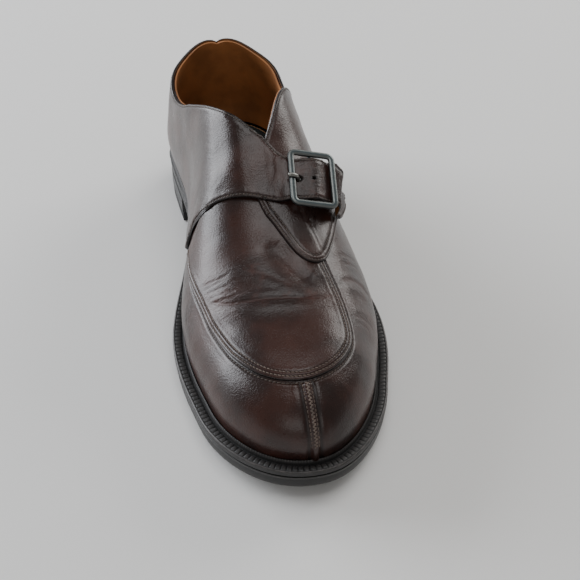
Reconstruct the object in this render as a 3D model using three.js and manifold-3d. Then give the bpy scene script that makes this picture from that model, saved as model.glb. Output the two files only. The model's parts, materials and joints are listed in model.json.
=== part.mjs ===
// Monk strap shoe for the left foot, with a split moccasin toe.
// Millimetres, +Z up, toe towards -Y, outer (lateral) side of the foot towards +X.
// The origin is the centre of the heel's bottom face, on the floor.
import * as THREE from 'three';
import { mergeVertices } from 'three/addons/utils/BufferGeometryUtils.js';
import Module from 'manifold-3d';

const wasm = await Module();
wasm.setup();

// Driving dimensions of the last
const LAST_LENGTH = 284;
const BALL_WIDTH = 95;
const INSTEP_HEIGHT = 76;
const HEEL_HEIGHT = 16.5;
const TOE_SPRING = 7;
const SWELL_HEIGHT = 16;

// Driving dimensions of the bottom
const OUTSOLE = 7.5;
const INSOLE = 2.4;
const WELT = 3.2;
const WELT_WIDTH = 9;
const LIP = 2;
const HEEL_LENGTH = 73;
const TOP_PIECE = 6;
const HEEL_INSET = 0.3;
const HEEL_SOCK = 0.8;
const HEEL_SOCK_LENGTH = 92;
const HEEL_SOCK_INSET = 1.5;
const EDGE_LEDGE = 1.6;
const EDGE_GROOVE = 0.5;
const LIP_SHARE = 0.45;
const LIP_BATTER = 0.6;
const WELT_GROOVE = 0.8;
const WELT_GROOVE_DEPTH = 0.5;

// Driving dimensions of the leather
const WALL = 1.8;
const APRON = 1.2;
const OVERLAY = 1.6;
const GAP = 0.3;
const SPLIT_SEAM_WIDTH = 4.6;
const SPLIT_SEAM_CREST = 2.8;
const SPLIT_SEAM_RISE = 1.3;

// Driving dimensions of the buckle
const STRAP_WIDTH = 24.4;
const STRAP_TIP = 25.7;
const BUCKLE_LENGTH = 33;
const BUCKLE_WIDTH = 26;
const BUCKLE_BAR = 2.2;
const CENTRE_BAR = 1.8;
const CENTRE_BAR_DROP = 2.5;
const LOOP = 0.7;
const LOOP_WIDTH = 19;
const PRONG = 1.8;
const PRONG_EYE = 0.8;
const PRONG_NOTCH = 0.7;
const PRONG_HOLE = 4.0;
const PRONG_HOLE_AT = -7.6;
const BUCKLE_CORNER = 4.5;
const BAR_BEVEL = 0.45;
const BUCKLE_TILT = 14;

// The last's back overhangs the heel's centre by half the heel less the edge behind it
const SEAT_EDGE = 0.62 * WELT_WIDTH;
const LAST_BACK = HEEL_LENGTH / 2 - SEAT_EDGE;
const BREAST_Y = -HEEL_LENGTH / 2;
const STACK = OUTSOLE + GAP + INSOLE;

// Plan of the last. at: share of LAST_LENGTH from the back. medial, lateral: feather line from the
// axis, share of BALL_WIDTH. swell: bulge over that line, share of BALL_WIDTH. edge: width of the
// sole's edge, share of WELT_WIDTH.
const PLAN = [
  { at: 0.000, medial: 0.326, lateral: 0.326, swell: 0.030, edge: 0.62 },
  { at: 0.125, medial: 0.326, lateral: 0.337, swell: 0.030, edge: 0.62 },
  { at: 0.235, medial: 0.305, lateral: 0.340, swell: 0.028, edge: 0.62 },
  { at: 0.330, medial: 0.290, lateral: 0.360, swell: 0.026, edge: 0.66 },
  { at: 0.480, medial: 0.365, lateral: 0.450, swell: 0.030, edge: 0.85 },
  { at: 0.640, medial: 0.475, lateral: 0.520, swell: 0.026, edge: 1.00 },
  { at: 0.760, medial: 0.465, lateral: 0.480, swell: 0.022, edge: 1.00 },
  { at: 0.840, medial: 0.425, lateral: 0.410, swell: 0.016, edge: 1.00 },
  { at: 1.000, medial: 0.350, lateral: 0.310, swell: 0.016, edge: 1.00 },
];

// Side view of the last. heel, spring: how much of HEEL_HEIGHT and of TOE_SPRING lifts the bottom.
// crown: height over the seat, share of INSTEP_HEIGHT. square: exponent of the cross section.
const PROFILE = [
  { at: 0.000, heel: 1.00, spring: 0.00, crown: 1.28, square: 2.6 },
  { at: 0.125, heel: 1.02, spring: 0.00, crown: 1.28, square: 2.6 },
  { at: 0.235, heel: 1.08, spring: 0.00, crown: 1.28, square: 2.5 },
  { at: 0.330, heel: 0.76, spring: 0.00, crown: 1.22, square: 2.4 },
  { at: 0.480, heel: 0.24, spring: 0.00, crown: 1.00, square: 2.35 },
  { at: 0.640, heel: -0.04, spring: 0.00, crown: 0.72, square: 2.25 },
  { at: 0.760, heel: 0.00, spring: 0.00, crown: 0.585, square: 2.4 },
  { at: 0.840, heel: 0.00, spring: 0.23, crown: 0.525, square: 2.6 },
  { at: 1.000, heel: 0.00, spring: 1.00, crown: 0.43, square: 2.7 },
];

// Where the round ends of the plan begin, as shares of the last and of the pattern
const HEEL_CENTRE = { at: 0.125, along: 0.16, square: 2.1 };
const TOE_CENTRE = { at: 0.84, along: 0.78, square: 2.2 };

// Pattern places are [along, across]: along runs 0 to 1 from heel to toe, across runs from the
// medial feather line at -1 over the crown at 0 to the lateral feather line at 1, and beyond 1 it
// runs straight down the skirt, SKIRT millimetres for each unit.
const SKIRT = 100;

// Edge of the opening, a row for each station, down to the V over the instep
const COLLAR = [
  { along: 0.000, medial: -0.620, lateral: 0.620 },
  { along: 0.080, medial: -0.650, lateral: 0.650 },
  { along: 0.160, medial: -0.690, lateral: 0.690 },
  { along: 0.220, medial: -0.675, lateral: 0.675 },
  { along: 0.280, medial: -0.600, lateral: 0.600 },
  { along: 0.330, medial: -0.480, lateral: 0.430 },
  { along: 0.380, medial: -0.295, lateral: 0.270 },
  { along: 0.420, medial: -0.080, lateral: 0.165 },
  { along: 0.451, medial: 0.085, lateral: 0.085 },
];

// Edge of the apron from the toe's centre back to the hidden end under the strap
const APRON_EDGE = [
  { along: 1.000, medial: -0.330, lateral: 0.330 },
  { along: 0.930, medial: -0.343, lateral: 0.340 },
  { along: 0.865, medial: -0.380, lateral: 0.382 },
  { along: 0.805, medial: -0.425, lateral: 0.420 },
  { along: 0.745, medial: -0.490, lateral: 0.405 },
  { along: 0.690, medial: -0.535, lateral: 0.352 },
  { along: 0.640, medial: -0.575, lateral: 0.300 },
  { along: 0.570, medial: -0.660, lateral: 0.230 },
  { along: 0.530, medial: -0.690, lateral: 0.190 },
];
const APRON_END = 0.485;
const APRON_END_HALF = 0.22;

// Front edges of the two quarters, from the feather line round the lobe to the instep
const MEDIAL_FRONT = [
  [0.430, -0.960], [0.449, -0.905], [0.469, -0.845], [0.487, -0.790], [0.498, -0.745],
  [0.496, -0.705], [0.500, -0.628], [0.510, -0.530], [0.516, -0.400], [0.524, -0.254],
  [0.533, -0.122], [0.542, 0.007], [0.547, 0.110],
];
const LATERAL_FRONT = [
  [0.430, 0.960], [0.450, 0.860], [0.478, 0.740], [0.510, 0.625], [0.545, 0.515],
  [0.581, 0.441], [0.608, 0.385], [0.630, 0.332], [0.643, 0.280], [0.647, 0.230],
  [0.643, 0.180], [0.630, 0.126], [0.607, 0.078], [0.578, 0.024], [0.546, -0.035],
  [0.512, -0.057], [0.475, -0.045],
];

// Centre of the buckle, and how far along the pattern lie a place on its inner side and on its outer
const BUCKLE_PLACE = { along: 0.513, across: 0.305, inner: 0.499, outer: 0.489, reach: 0.16 };

// Natural cubic spline through a column of a table, straight beyond its ends
function spline(rows, key, column) {
  const x = rows.map((row) => row[key]);
  const y = rows.map((row) => row[column]);
  const n = x.length;
  const bend = new Array(n).fill(0);
  const upper = new Array(n).fill(0);
  const right = new Array(n).fill(0);
  for (let i = 1; i < n - 1; i += 1) {
    const before = x[i] - x[i - 1];
    const after = x[i + 1] - x[i];
    const slopes = (y[i + 1] - y[i]) / after - (y[i] - y[i - 1]) / before;
    const pivot = 2 * (before + after) - before * upper[i - 1];
    upper[i] = after / pivot;
    right[i] = (6 * slopes - before * right[i - 1]) / pivot;
  }
  for (let i = n - 2; i > 0; i -= 1) bend[i] = right[i] - upper[i] * bend[i + 1];
  return (at) => {
    let i = 0;
    while (i < n - 2 && at > x[i + 1]) i += 1;
    const span = x[i + 1] - x[i];
    const t = THREE.MathUtils.clamp((at - x[i]) / span, 0, 1);
    const s = 1 - t;
    const inside = s * y[i] + t * y[i + 1]
      + ((s ** 3 - s) * bend[i] + (t ** 3 - t) * bend[i + 1]) * span * span / 6;
    const slope = (y[i + 1] - y[i]) / span
      + (at < x[0] ? -bend[i + 1] : bend[i]) * span / 6;
    return inside + (at - x[i] - t * span) * slope;
  };
}

const column = Object.fromEntries([PLAN, PROFILE].flatMap((table) => (
  Object.keys(table[0]).map((name) => [name, spline(table, 'at', name)])
)));
const yAt = (at) => LAST_BACK - at * LAST_LENGTH;
const atY = (y) => (LAST_BACK - y) / LAST_LENGTH;
const heldAt = (y) => THREE.MathUtils.clamp(atY(y), 0, 1);

// Height of the sole's underside: level under the heel and under the ball
function underside(y) {
  const at = atY(y);
  const height = column.heel(at) * HEEL_HEIGHT + column.spring(at) * TOE_SPRING;
  return THREE.MathUtils.clamp(height, 0, HEEL_HEIGHT);
}
const seat = (y) => underside(y) + STACK;

// Half width of the feather line on one side
function halfWidth(at, side) {
  return (side < 0 ? column.medial(at) : column.lateral(at)) * BALL_WIDTH;
}

// Radius that turns a direction into a point of a superellipse
const rounded = (c, s, square) => (Math.abs(c) ** square + Math.abs(s) ** square) ** (-1 / square);

// A bare point of the last at a pattern place
function lastPoint(alongIn, acrossIn) {
  const past = alongIn > 1 || alongIn < 0;
  const along = past ? (alongIn > 1 ? 2 - alongIn : -alongIn) : alongIn;
  const across = past ? -acrossIn : acrossIn;
  const side = across < 0 ? -1 : 1;
  const reachUp = 1 - Math.min(Math.abs(across), 1);
  const drop = Math.max(Math.abs(across) - 1, 0) * SKIRT;

  const straight = (along - HEEL_CENTRE.along) / (TOE_CENTRE.along - HEEL_CENTRE.along);
  const held = THREE.MathUtils.clamp(straight, 0, 1);
  const at = HEEL_CENTRE.at + held * (TOE_CENTRE.at - HEEL_CENTRE.at);
  const end = straight < 0 ? HEEL_CENTRE : TOE_CENTRE;
  const turn = straight < 0
    ? 1 - along / HEEL_CENTRE.along
    : Math.max((along - TOE_CENTRE.along) / (1 - TOE_CENTRE.along), 0);
  const c = Math.cos(turn * Math.PI / 2);
  const s = Math.sin(turn * Math.PI / 2);
  const radius = rounded(c, s, end.square);
  const endLength = (straight < 0 ? HEEL_CENTRE.at : 1 - TOE_CENTRE.at) * LAST_LENGTH;
  const forward = (straight < 0 ? 1 : -1) * endLength * s * radius;
  const step = 0.001;
  const narrower = halfWidth(TOE_CENTRE.at, side) - halfWidth(TOE_CENTRE.at - step, side);
  const taper = narrower / (step * LAST_LENGTH);
  const width = halfWidth(at, side) + (straight > 1 ? taper * Math.abs(forward) : 0);
  const sideways = side * width * c * radius;

  const rimAt = heldAt(yAt(at) + forward);
  const square = column.square(rimAt);
  const lean = reachUp * Math.PI / 2;
  const profile = rounded(Math.cos(lean), Math.sin(lean), square);
  const f = Math.cos(lean) * profile;
  const g = Math.sin(lean) * profile;
  const ownY = yAt(at) + forward * f;
  const height = column.crown(heldAt(ownY)) * INSTEP_HEIGHT * g;
  const t = height / SWELL_HEIGHT;
  const bulge = column.swell(rimAt) * BALL_WIDTH * t * t * Math.exp(2 * (1 - t));
  const spread = f + bulge / Math.max(Math.hypot(sideways, forward), 1);
  return new THREE.Vector3(
    sideways * spread,
    yAt(at) + forward * spread,
    seat(ownY) + height - drop,
  );
}

// A point of the form, lifted off the last by a distance along its normal
function form(alongIn, across, lift = 0) {
  const crown = Math.abs(across) < 1e-7;
  const along = crown
    ? THREE.MathUtils.clamp(alongIn, HEEL_CENTRE.along, TOE_CENTRE.along)
    : alongIn;
  const point = lastPoint(along, across);
  if (lift === 0) return point;
  const step = 0.001;
  const held = (value) => THREE.MathUtils.clamp(value, -1, 1);
  const lengthwise = lastPoint(along + step, across).sub(lastPoint(along - step, across));
  const girthwise = lastPoint(along, held(across + step)).sub(lastPoint(along, held(across - step)));
  const normal = lengthwise.cross(girthwise);
  if (Math.abs(across) > 1 - 1e-7) normal.z = 0;
  return point.addScaledVector(normal.normalize(), lift);
}

// Place across the pattern where the form reaches a height over its feather line
function acrossAtHeight(along, side, height, lift = 0) {
  let low = 0.3;
  let high = 1;
  for (let i = 0; i < 30; i += 1) {
    const middle = (low + high) / 2;
    const point = form(along, side * middle, lift);
    if (point.z - seat(point.y) > height) low = middle;
    else high = middle;
  }
  return side * (low + high) / 2;
}

// Triangles that share their corners, closed when every edge has two
class Sketch {
  constructor() {
    this.points = [];
    this.faces = [];
    this.keys = new Map();
  }

  corner(point) {
    const key = point.toArray().map((value) => Math.round(value * 1e4)).join();
    if (!this.keys.has(key)) {
      this.keys.set(key, this.points.length);
      this.points.push(point);
    }
    return this.keys.get(key);
  }

  face(a, b, c) {
    const corners = [a, b, c].map((point) => this.corner(point));
    if (new Set(corners).size === 3) this.faces.push(corners);
  }

  quad(a, b, c, d) {
    this.face(a, b, c);
    this.face(a, c, d);
  }

  geometry() {
    const volume = this.faces.reduce((sum, [a, b, c]) => {
      const [p, q, r] = [this.points[a], this.points[b], this.points[c]];
      return sum + p.dot(q.clone().cross(r));
    }, 0);
    const turned = volume < 0 ? this.faces.map(([a, b, c]) => [a, c, b]) : this.faces;
    const geometry = new THREE.BufferGeometry();
    const flat = this.points.flatMap((point) => point.toArray());
    geometry.setAttribute('position', new THREE.Float32BufferAttribute(flat, 3));
    geometry.setIndex(turned.flat());
    return geometry;
  }
}

// Booleans
function solid(geometry) {
  const bare = geometry.clone();
  bare.deleteAttribute('normal');
  bare.deleteAttribute('uv');
  const merged = mergeVertices(bare, 1e-5);
  return new wasm.Manifold(new wasm.Mesh({
    numProp: 3,
    vertProperties: new Float32Array(merged.attributes.position.array),
    triVerts: new Uint32Array(merged.index.array),
  }));
}

function geometryOf(manifold) {
  const mesh = manifold.getMesh();
  const geometry = new THREE.BufferGeometry();
  geometry.setAttribute('position', new THREE.Float32BufferAttribute(mesh.vertProperties, 3));
  geometry.setIndex(Array.from(mesh.triVerts));
  return geometry;
}

// Grid of the pattern, shared by every sheet so that stacked sheets stay parallel
function range(from, to, count) {
  return Array.from({ length: count }, (_, i) => from + (to - from) * i / count);
}
const ALONG_GRID = [
  ...range(0, HEEL_CENTRE.along, 8),
  ...range(HEEL_CENTRE.along, TOE_CENTRE.along, 22),
  ...range(TOE_CENTRE.along, 1, 9),
  1,
];
const HALF_GRID = [0, 0.08, 0.17, 0.26, 0.35, 0.44, 0.53, 0.62, 0.71, 0.80, 0.90, 1];
const ACROSS_GRID = [...HALF_GRID.slice(1).map((value) => -value).reverse(), ...HALF_GRID];

// Flat size of the pattern, its bow (which keeps every grid line) and its two layers
const FLAT_LENGTH = 330;
const FLAT_GIRTH = 110;
const FLAT_LAYER = 10;
const bow = (x, y) => (x * x + y * y) * 1e-4;

function slab(alongGrid, acrossGrid) {
  const sketch = new Sketch();
  const at = (i, j, layer) => {
    const x = alongGrid[i] * FLAT_LENGTH;
    const y = acrossGrid[j] * FLAT_GIRTH;
    return new THREE.Vector3(x, y, layer * FLAT_LAYER + bow(x, y));
  };
  const lastI = alongGrid.length - 1;
  const lastJ = acrossGrid.length - 1;
  for (let i = 0; i < lastI; i += 1) {
    for (let j = 0; j < lastJ; j += 1) {
      sketch.quad(at(i, j, 1), at(i + 1, j, 1), at(i + 1, j + 1, 1), at(i, j + 1, 1));
      sketch.face(at(i, j, 0), at(i + 1, j + 1, 0), at(i + 1, j, 0));
      sketch.face(at(i, j, 0), at(i, j + 1, 0), at(i + 1, j + 1, 0));
    }
    sketch.quad(at(i, 0, 0), at(i + 1, 0, 0), at(i + 1, 0, 1), at(i, 0, 1));
    sketch.quad(at(i + 1, lastJ, 0), at(i, lastJ, 0), at(i, lastJ, 1), at(i + 1, lastJ, 1));
  }
  for (let j = 0; j < lastJ; j += 1) {
    sketch.quad(at(0, j + 1, 0), at(0, j, 0), at(0, j, 1), at(0, j + 1, 1));
    sketch.quad(at(lastI, j, 0), at(lastI, j + 1, 0), at(lastI, j + 1, 1), at(lastI, j, 1));
  }
  return sketch.geometry();
}

function prism(points, from, to) {
  const shape = new THREE.Shape(points.map(([x, y]) => new THREE.Vector2(x, y)));
  const geometry = new THREE.ExtrudeGeometry(shape, { depth: to - from, bevelEnabled: false });
  return geometry.translate(0, 0, from);
}

// A sheet of leather: an outline cut from the flat pattern and laid on the last between two lifts
function sheet({ outline, holes = [], lifts, alongGrid = ALONG_GRID, acrossGrid = ACROSS_GRID }) {
  const flat = (places) => places.map(([x, y]) => [x * FLAT_LENGTH, y * FLAT_GIRTH]);
  const height = bow(FLAT_LENGTH, FLAT_GIRTH) + 2 * FLAT_LAYER;
  const cutter = (places) => solid(prism(flat(places), -FLAT_LAYER, height));
  let cut = solid(slab(alongGrid, acrossGrid)).intersect(cutter(outline));
  holes.forEach((hole) => {
    cut = cut.subtract(cutter(hole));
  });
  const { vertProperties, triVerts } = cut.getMesh();
  const places = Array.from({ length: vertProperties.length / 3 }, (_, i) => {
    const [x, y, z] = vertProperties.slice(3 * i, 3 * i + 3);
    const raw = x / FLAT_LENGTH;
    const along = Math.abs(raw - Math.round(raw)) < 1e-6 ? Math.round(raw) : raw;
    return { along, across: y / FLAT_GIRTH, outer: z - bow(x, y) > FLAT_LAYER / 2 };
  });
  const points = places.map(({ along, across, outer }) => {
    const [inner, over] = lifts(along, across);
    return form(along, across, outer ? over : inner);
  });
  const sketch = new Sketch();
  for (let i = 0; i < triVerts.length; i += 3) {
    const corners = Array.from(triVerts.slice(i, i + 3));
    const closed = [0, 1].some((end) => corners.every((corner) => places[corner].along === end));
    if (!closed) sketch.face(...corners.map((corner) => points[corner]));
  }
  return sketch.geometry();
}

// Curve through places, for outlines
function curve(places, steps) {
  const points = places.map(([x, y]) => new THREE.Vector3(x, y, 0));
  const path = new THREE.CatmullRomCurve3(points, false, 'centripetal');
  return path.getSpacedPoints(steps).map((point) => [point.x, point.y]);
}

function tableEdge(rows, side, steps) {
  const key = side < 0 ? 'medial' : 'lateral';
  return curve(rows.map((row) => [row.along, row[key]]), steps);
}

const smooth = (value, from, to) => THREE.MathUtils.smoothstep(value, from, to);

// Lifts of the layers: wall on the last, apron on the wall, quarters over both, strap over all.
// A quarter rises over the apron along the pattern, and the strap rises over the quarter across it.
const FIRST_LIFT = WALL + GAP;
const FRONT_LIFT = FIRST_LIFT + APRON + GAP;
const STRAP_LIFT = FRONT_LIFT + OVERLAY + GAP;
const QUARTER_RISE = { from: 0.36, to: 0.455 };
const STRAP_RISE = { from: -0.32, to: -0.12 };
function quarterLift(along) {
  const risen = smooth(along, QUARTER_RISE.from, QUARTER_RISE.to);
  return FIRST_LIFT + (FRONT_LIFT - FIRST_LIFT) * risen;
}

// Frame of the buckle: u along the strap towards its tip, v towards the heel, w away from the foot
const BUCKLE_LIFT = STRAP_LIFT + OVERLAY + GAP + BUCKLE_BAR / 2;
const buckle = (() => {
  const { along, across, inner, outer, reach } = BUCKLE_PLACE;
  const ground = form(along, across, 0);
  const normal = form(along, across, 1).sub(ground).normalize();
  const u = form(outer, across + reach, 0).sub(form(inner, across - reach, 0));
  u.addScaledVector(normal, -u.dot(normal)).normalize();
  const v = normal.clone().cross(u);
  u.applyAxisAngle(v, THREE.MathUtils.degToRad(-BUCKLE_TILT));
  const w = u.clone().cross(v);
  const origin = ground.addScaledVector(normal, BUCKLE_LIFT);
  return { origin, u, v, w };
})();

function inBuckle(point) {
  const from = point.clone().sub(buckle.origin);
  return { u: from.dot(buckle.u), v: from.dot(buckle.v), w: from.dot(buckle.w) };
}

function fromBuckle(u, v, w) {
  return buckle.origin.clone()
    .addScaledVector(buckle.u, u)
    .addScaledVector(buckle.v, v)
    .addScaledVector(buckle.w, w);
}

// Pattern place under a point of the buckle's plane, for a strap lifted off the quarter
const LOOSE_LIFT = STRAP_LIFT + 3;
function placeUnder(u, v) {
  let along = BUCKLE_PLACE.along;
  let across = BUCKLE_PLACE.across;
  const step = 0.001;
  for (let i = 0; i < 12; i += 1) {
    const here = inBuckle(form(along, across, LOOSE_LIFT));
    const further = inBuckle(form(along + step, across, LOOSE_LIFT));
    const aside = inBuckle(form(along, across + step, LOOSE_LIFT));
    const a = (further.u - here.u) / step;
    const b = (aside.u - here.u) / step;
    const c = (further.v - here.v) / step;
    const d = (aside.v - here.v) / step;
    const miss = [u - here.u, v - here.v];
    const det = a * d - b * c;
    along += THREE.MathUtils.clamp((miss[0] * d - miss[1] * b) / det, -0.05, 0.05);
    across += THREE.MathUtils.clamp((a * miss[1] - c * miss[0]) / det, -0.1, 0.1);
  }
  return [along, across];
}

// The frame is raised until its two side bars clear a strap that lies on the quarter
const STRAP_HALF = STRAP_WIDTH / 2;
const BAR_AT = (BUCKLE_WIDTH - BUCKLE_BAR) / 2;
const UNDER_BARS = -(BUCKLE_BAR / 2 + GAP + OVERLAY);
const barEdges = [-1, 1].flatMap((bar) => (
  [-0.5, 0.5].map((edge) => bar * BAR_AT + edge * BUCKLE_BAR)
));
const nearBar = barEdges.flatMap((u) => [-1, 0, 1].map((edge) => {
  const [along, across] = placeUnder(u, edge * STRAP_HALF);
  return inBuckle(form(along, across, STRAP_LIFT)).w;
}));
buckle.origin.addScaledVector(buckle.w, Math.max(...nearBar) - UNDER_BARS + GAP);

// Inner lift of the strap: flat on the quarter, under the side bars, over the centre bar, loose tip
const OVER_CENTRE = -CENTRE_BAR_DROP + CENTRE_BAR / 2 + GAP + LOOP + 2 * GAP;
const HUMP = 9;
const LEAD = { from: -BAR_AT - 8, to: -BAR_AT + 1 };
const TAIL = { from: BAR_AT + 0.5, to: BAR_AT + 6 };
const TIP_TWIST = { from: -10, slope: 0.3 };
function strapLift(along, across) {
  const risen = smooth(across, STRAP_RISE.from, STRAP_RISE.to);
  const onQuarter = quarterLift(along) + (STRAP_LIFT - FRONT_LIFT) * risen;
  const ground = form(along, across, 0);
  const normal = form(along, across, 1).sub(ground);
  const { w } = inBuckle(ground);
  const { u, v } = inBuckle(ground.clone().addScaledVector(normal, LOOSE_LIFT));
  if (across < 0 || u < LEAD.from) return onQuarter;
  const t = Math.min(Math.abs(u) / HUMP, 1);
  const level = UNDER_BARS + (OVER_CENTRE - UNDER_BARS) * (1 - t * t) ** 2;
  const inFrame = (level - w) / Math.max(normal.dot(buckle.w), 0.5);
  const start = smooth(u, LEAD.from, LEAD.to);
  const end = smooth(u, TAIL.from, TAIL.to);
  const led = onQuarter + (Math.max(inFrame, onQuarter) - onQuarter) * start;
  const tip = STRAP_LIFT + TIP_TWIST.slope * Math.max(v - TIP_TWIST.from, 0);
  return led + (tip - led) * end;
}

// Columns round the shoe's edge: the lateral side forward, then the medial side back
const COLUMNS = [
  ...ALONG_GRID.map((along) => ({ along, side: 1 })),
  ...ALONG_GRID.slice(1, -1).reverse().map((along) => ({ along, side: -1 })),
];
const edgeWidth = ({ along, side }) => column.edge(heldAt(form(along, side, 0).y)) * WELT_WIDTH;

// A point beside the feather line, moved out by a width, at a height set by its own y
function rim(place, out, height) {
  const point = form(place.along, place.side, out);
  point.z = height(point.y);
  return point;
}

// A plate: rings from its top edge to its bottom edge, closed by level strips across
function plate(rings) {
  const sketch = new Sketch();
  const rows = rings.map((ring) => COLUMNS.map(ring));
  rows.slice(1).forEach((row, k) => {
    row.forEach((point, i) => {
      const next = (i + 1) % row.length;
      sketch.quad(rows[k][i], rows[k][next], row[next], point);
    });
  });
  const count = COLUMNS.length;
  const mirror = (i) => (count - i) % count;
  [[rows[0], 1], [rows[rows.length - 1], -1]].forEach(([row, way]) => {
    for (let i = 0; i < ALONG_GRID.length - 1; i += 1) {
      const strip = [row[i], row[mirror(i)], row[mirror(i + 1)], row[i + 1]];
      if (way > 0) sketch.quad(...strip);
      else sketch.quad(...strip.reverse());
    }
  });
  return sketch.geometry();
}

// A band: rings joined into a closed section that runs round the shoe
function band(rings) {
  const sketch = new Sketch();
  const rows = rings.map((ring) => COLUMNS.map(ring));
  rows.forEach((row, k) => {
    const below = rows[(k + 1) % rows.length];
    row.forEach((point, i) => {
      const next = (i + 1) % row.length;
      sketch.quad(point, row[next], below[next], below[i]);
    });
  });
  return sketch.geometry();
}

// Bottom pieces
const outsoleTop = (y) => underside(y) + OUTSOLE;
function makeOutsole() {
  const ring = (inset, height) => (place) => rim(place, edgeWidth(place) - inset, height);
  return plate([
    ring(0, outsoleTop),
    ring(0, (y) => outsoleTop(y) - EDGE_LEDGE),
    ring(EDGE_GROOVE, (y) => outsoleTop(y) - EDGE_LEDGE - EDGE_GROOVE / 2),
    ring(EDGE_GROOVE, (y) => underside(y) + 2 * EDGE_GROOVE),
    ring(3 * EDGE_GROOVE, underside),
  ]);
}

function makeInsole() {
  return plate([
    (place) => rim(place, -GAP, seat),
    (place) => rim(place, -GAP, (y) => outsoleTop(y) + GAP),
  ]);
}

function makeHeelSock() {
  const whole = plate([
    (place) => rim(place, -HEEL_SOCK_INSET, (y) => seat(y) + GAP + HEEL_SOCK),
    (place) => rim(place, -HEEL_SOCK_INSET, (y) => seat(y) + GAP),
  ]);
  const front = LAST_BACK - HEEL_SOCK_LENGTH;
  const radius = BALL_WIDTH;
  const keep = new THREE.CylinderGeometry(radius, radius, 3 * STACK + HEEL_HEIGHT, 72);
  keep.rotateX(Math.PI / 2).translate(0, front + radius, HEEL_HEIGHT + STACK);
  return geometryOf(solid(whole).intersect(solid(keep)));
}

function makeWelt() {
  const base = (y) => outsoleTop(y) + GAP;
  const ledge = (y) => base(y) + WELT;
  const high = (y) => base(y) + WELT + LIP;
  const inner = WALL + GAP;
  const lipFoot = (place) => inner + LIP_SHARE * (edgeWidth(place) - inner);
  const innerTop = (place) => {
    const across = acrossAtHeight(place.along, place.side, WELT + LIP - INSOLE, inner);
    const point = form(place.along, across, inner);
    point.z = high(point.y);
    return point;
  };
  return band([
    (place) => rim(place, inner, base),
    (place) => rim(place, edgeWidth(place), base),
    (place) => rim(place, edgeWidth(place), ledge),
    (place) => rim(place, lipFoot(place) + WELT_GROOVE, ledge),
    (place) => rim(place, lipFoot(place) + WELT_GROOVE / 2, (y) => ledge(y) - WELT_GROOVE_DEPTH),
    (place) => rim(place, lipFoot(place), ledge),
    (place) => rim(place, lipFoot(place) - LIP_BATTER, high),
    innerTop,
  ]);
}

function heelBlock(from, to, inset) {
  const outline = COLUMNS.map((place) => rim(place, edgeWidth(place) - inset, () => 0));
  const block = solid(prism(outline.map((point) => [point.x, point.y]), from, to));
  const reach = LAST_LENGTH;
  const breast = BREAST_Y + inset;
  const corners = [[-reach, breast], [reach, breast], [reach, reach], [-reach, reach]];
  const behind = prism(corners, from - 1, to + 1);
  return geometryOf(block.intersect(solid(behind)));
}

// Upper
const SHEET_SKIRT = 1 + INSOLE / SKIRT;
const HEEL_SEAM = 0.0008;
const COLLAR_STEPS = 22;
const UPPER_MARGIN = 0.014;
const SPLIT_SEAM_MARGIN = 0.012;
const BOTTOM_HEIGHT = WELT + LIP - INSOLE + 3 * GAP;

function openingEdge(side, margin) {
  return tableEdge(COLLAR, side, COLLAR_STEPS)
    .map(([along, across]) => [along + margin / 3, across + side * margin]);
}

function makeWall() {
  const medial = openingEdge(-1, UPPER_MARGIN);
  const lateral = openingEdge(1, UPPER_MARGIN);
  medial[0][0] = 0;
  lateral[0][0] = 0;
  const outline = [
    [0, -SHEET_SKIRT], [1, -SHEET_SKIRT], [1, SHEET_SKIRT], [0, SHEET_SKIRT],
    ...lateral,
    ...medial.reverse(),
  ];
  const acrossGrid = [-SHEET_SKIRT, ...ACROSS_GRID, SHEET_SKIRT];
  return sheet({ outline, lifts: () => [0, WALL], acrossGrid });
}

// The split toe: a raised fold on the toe's centre line, from over the welt to the apron
function makeSplitSeam() {
  const from = Math.abs(acrossAtHeight(1, 1, BOTTOM_HEIGHT, WALL));
  const to = APRON_EDGE[0].lateral + SPLIT_SEAM_MARGIN;
  const crest = SPLIT_SEAM_CREST / SPLIT_SEAM_WIDTH;
  const steps = 10;
  const sketch = new Sketch();
  const rows = Array.from({ length: steps + 1 }, (_, i) => {
    const across = from + (to - from) * i / steps;
    const at = (lift, x) => form(1, across, lift).add(new THREE.Vector3(x * SPLIT_SEAM_WIDTH / 2, 0, 0));
    const top = WALL + SPLIT_SEAM_RISE;
    return [at(WALL / 2, -1), at(WALL / 2, 1), at(top, crest), at(top, -crest)];
  });
  rows.slice(1).forEach((row, k) => {
    row.forEach((point, j) => {
      const next = (j + 1) % row.length;
      sketch.quad(rows[k][j], rows[k][next], row[next], point);
    });
  });
  sketch.quad(...rows[0].slice().reverse());
  sketch.quad(...rows[steps]);
  return sketch.geometry();
}

function makeUpper() {
  return geometryOf(solid(makeWall()).add(solid(makeSplitSeam())));
}

function makeApron() {
  const medial = tableEdge(APRON_EDGE, -1, 26);
  const lateral = tableEdge(APRON_EDGE, 1, 26);
  medial[0] = [1, -APRON_EDGE[0].lateral];
  lateral[0] = [1, APRON_EDGE[0].lateral];
  const outline = [
    ...medial,
    [APRON_END, -APRON_END_HALF], [APRON_END, APRON_END_HALF / 2],
    ...lateral.reverse(),
  ];
  return sheet({ outline, lifts: () => [FIRST_LIFT, FIRST_LIFT + APRON] });
}

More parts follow.
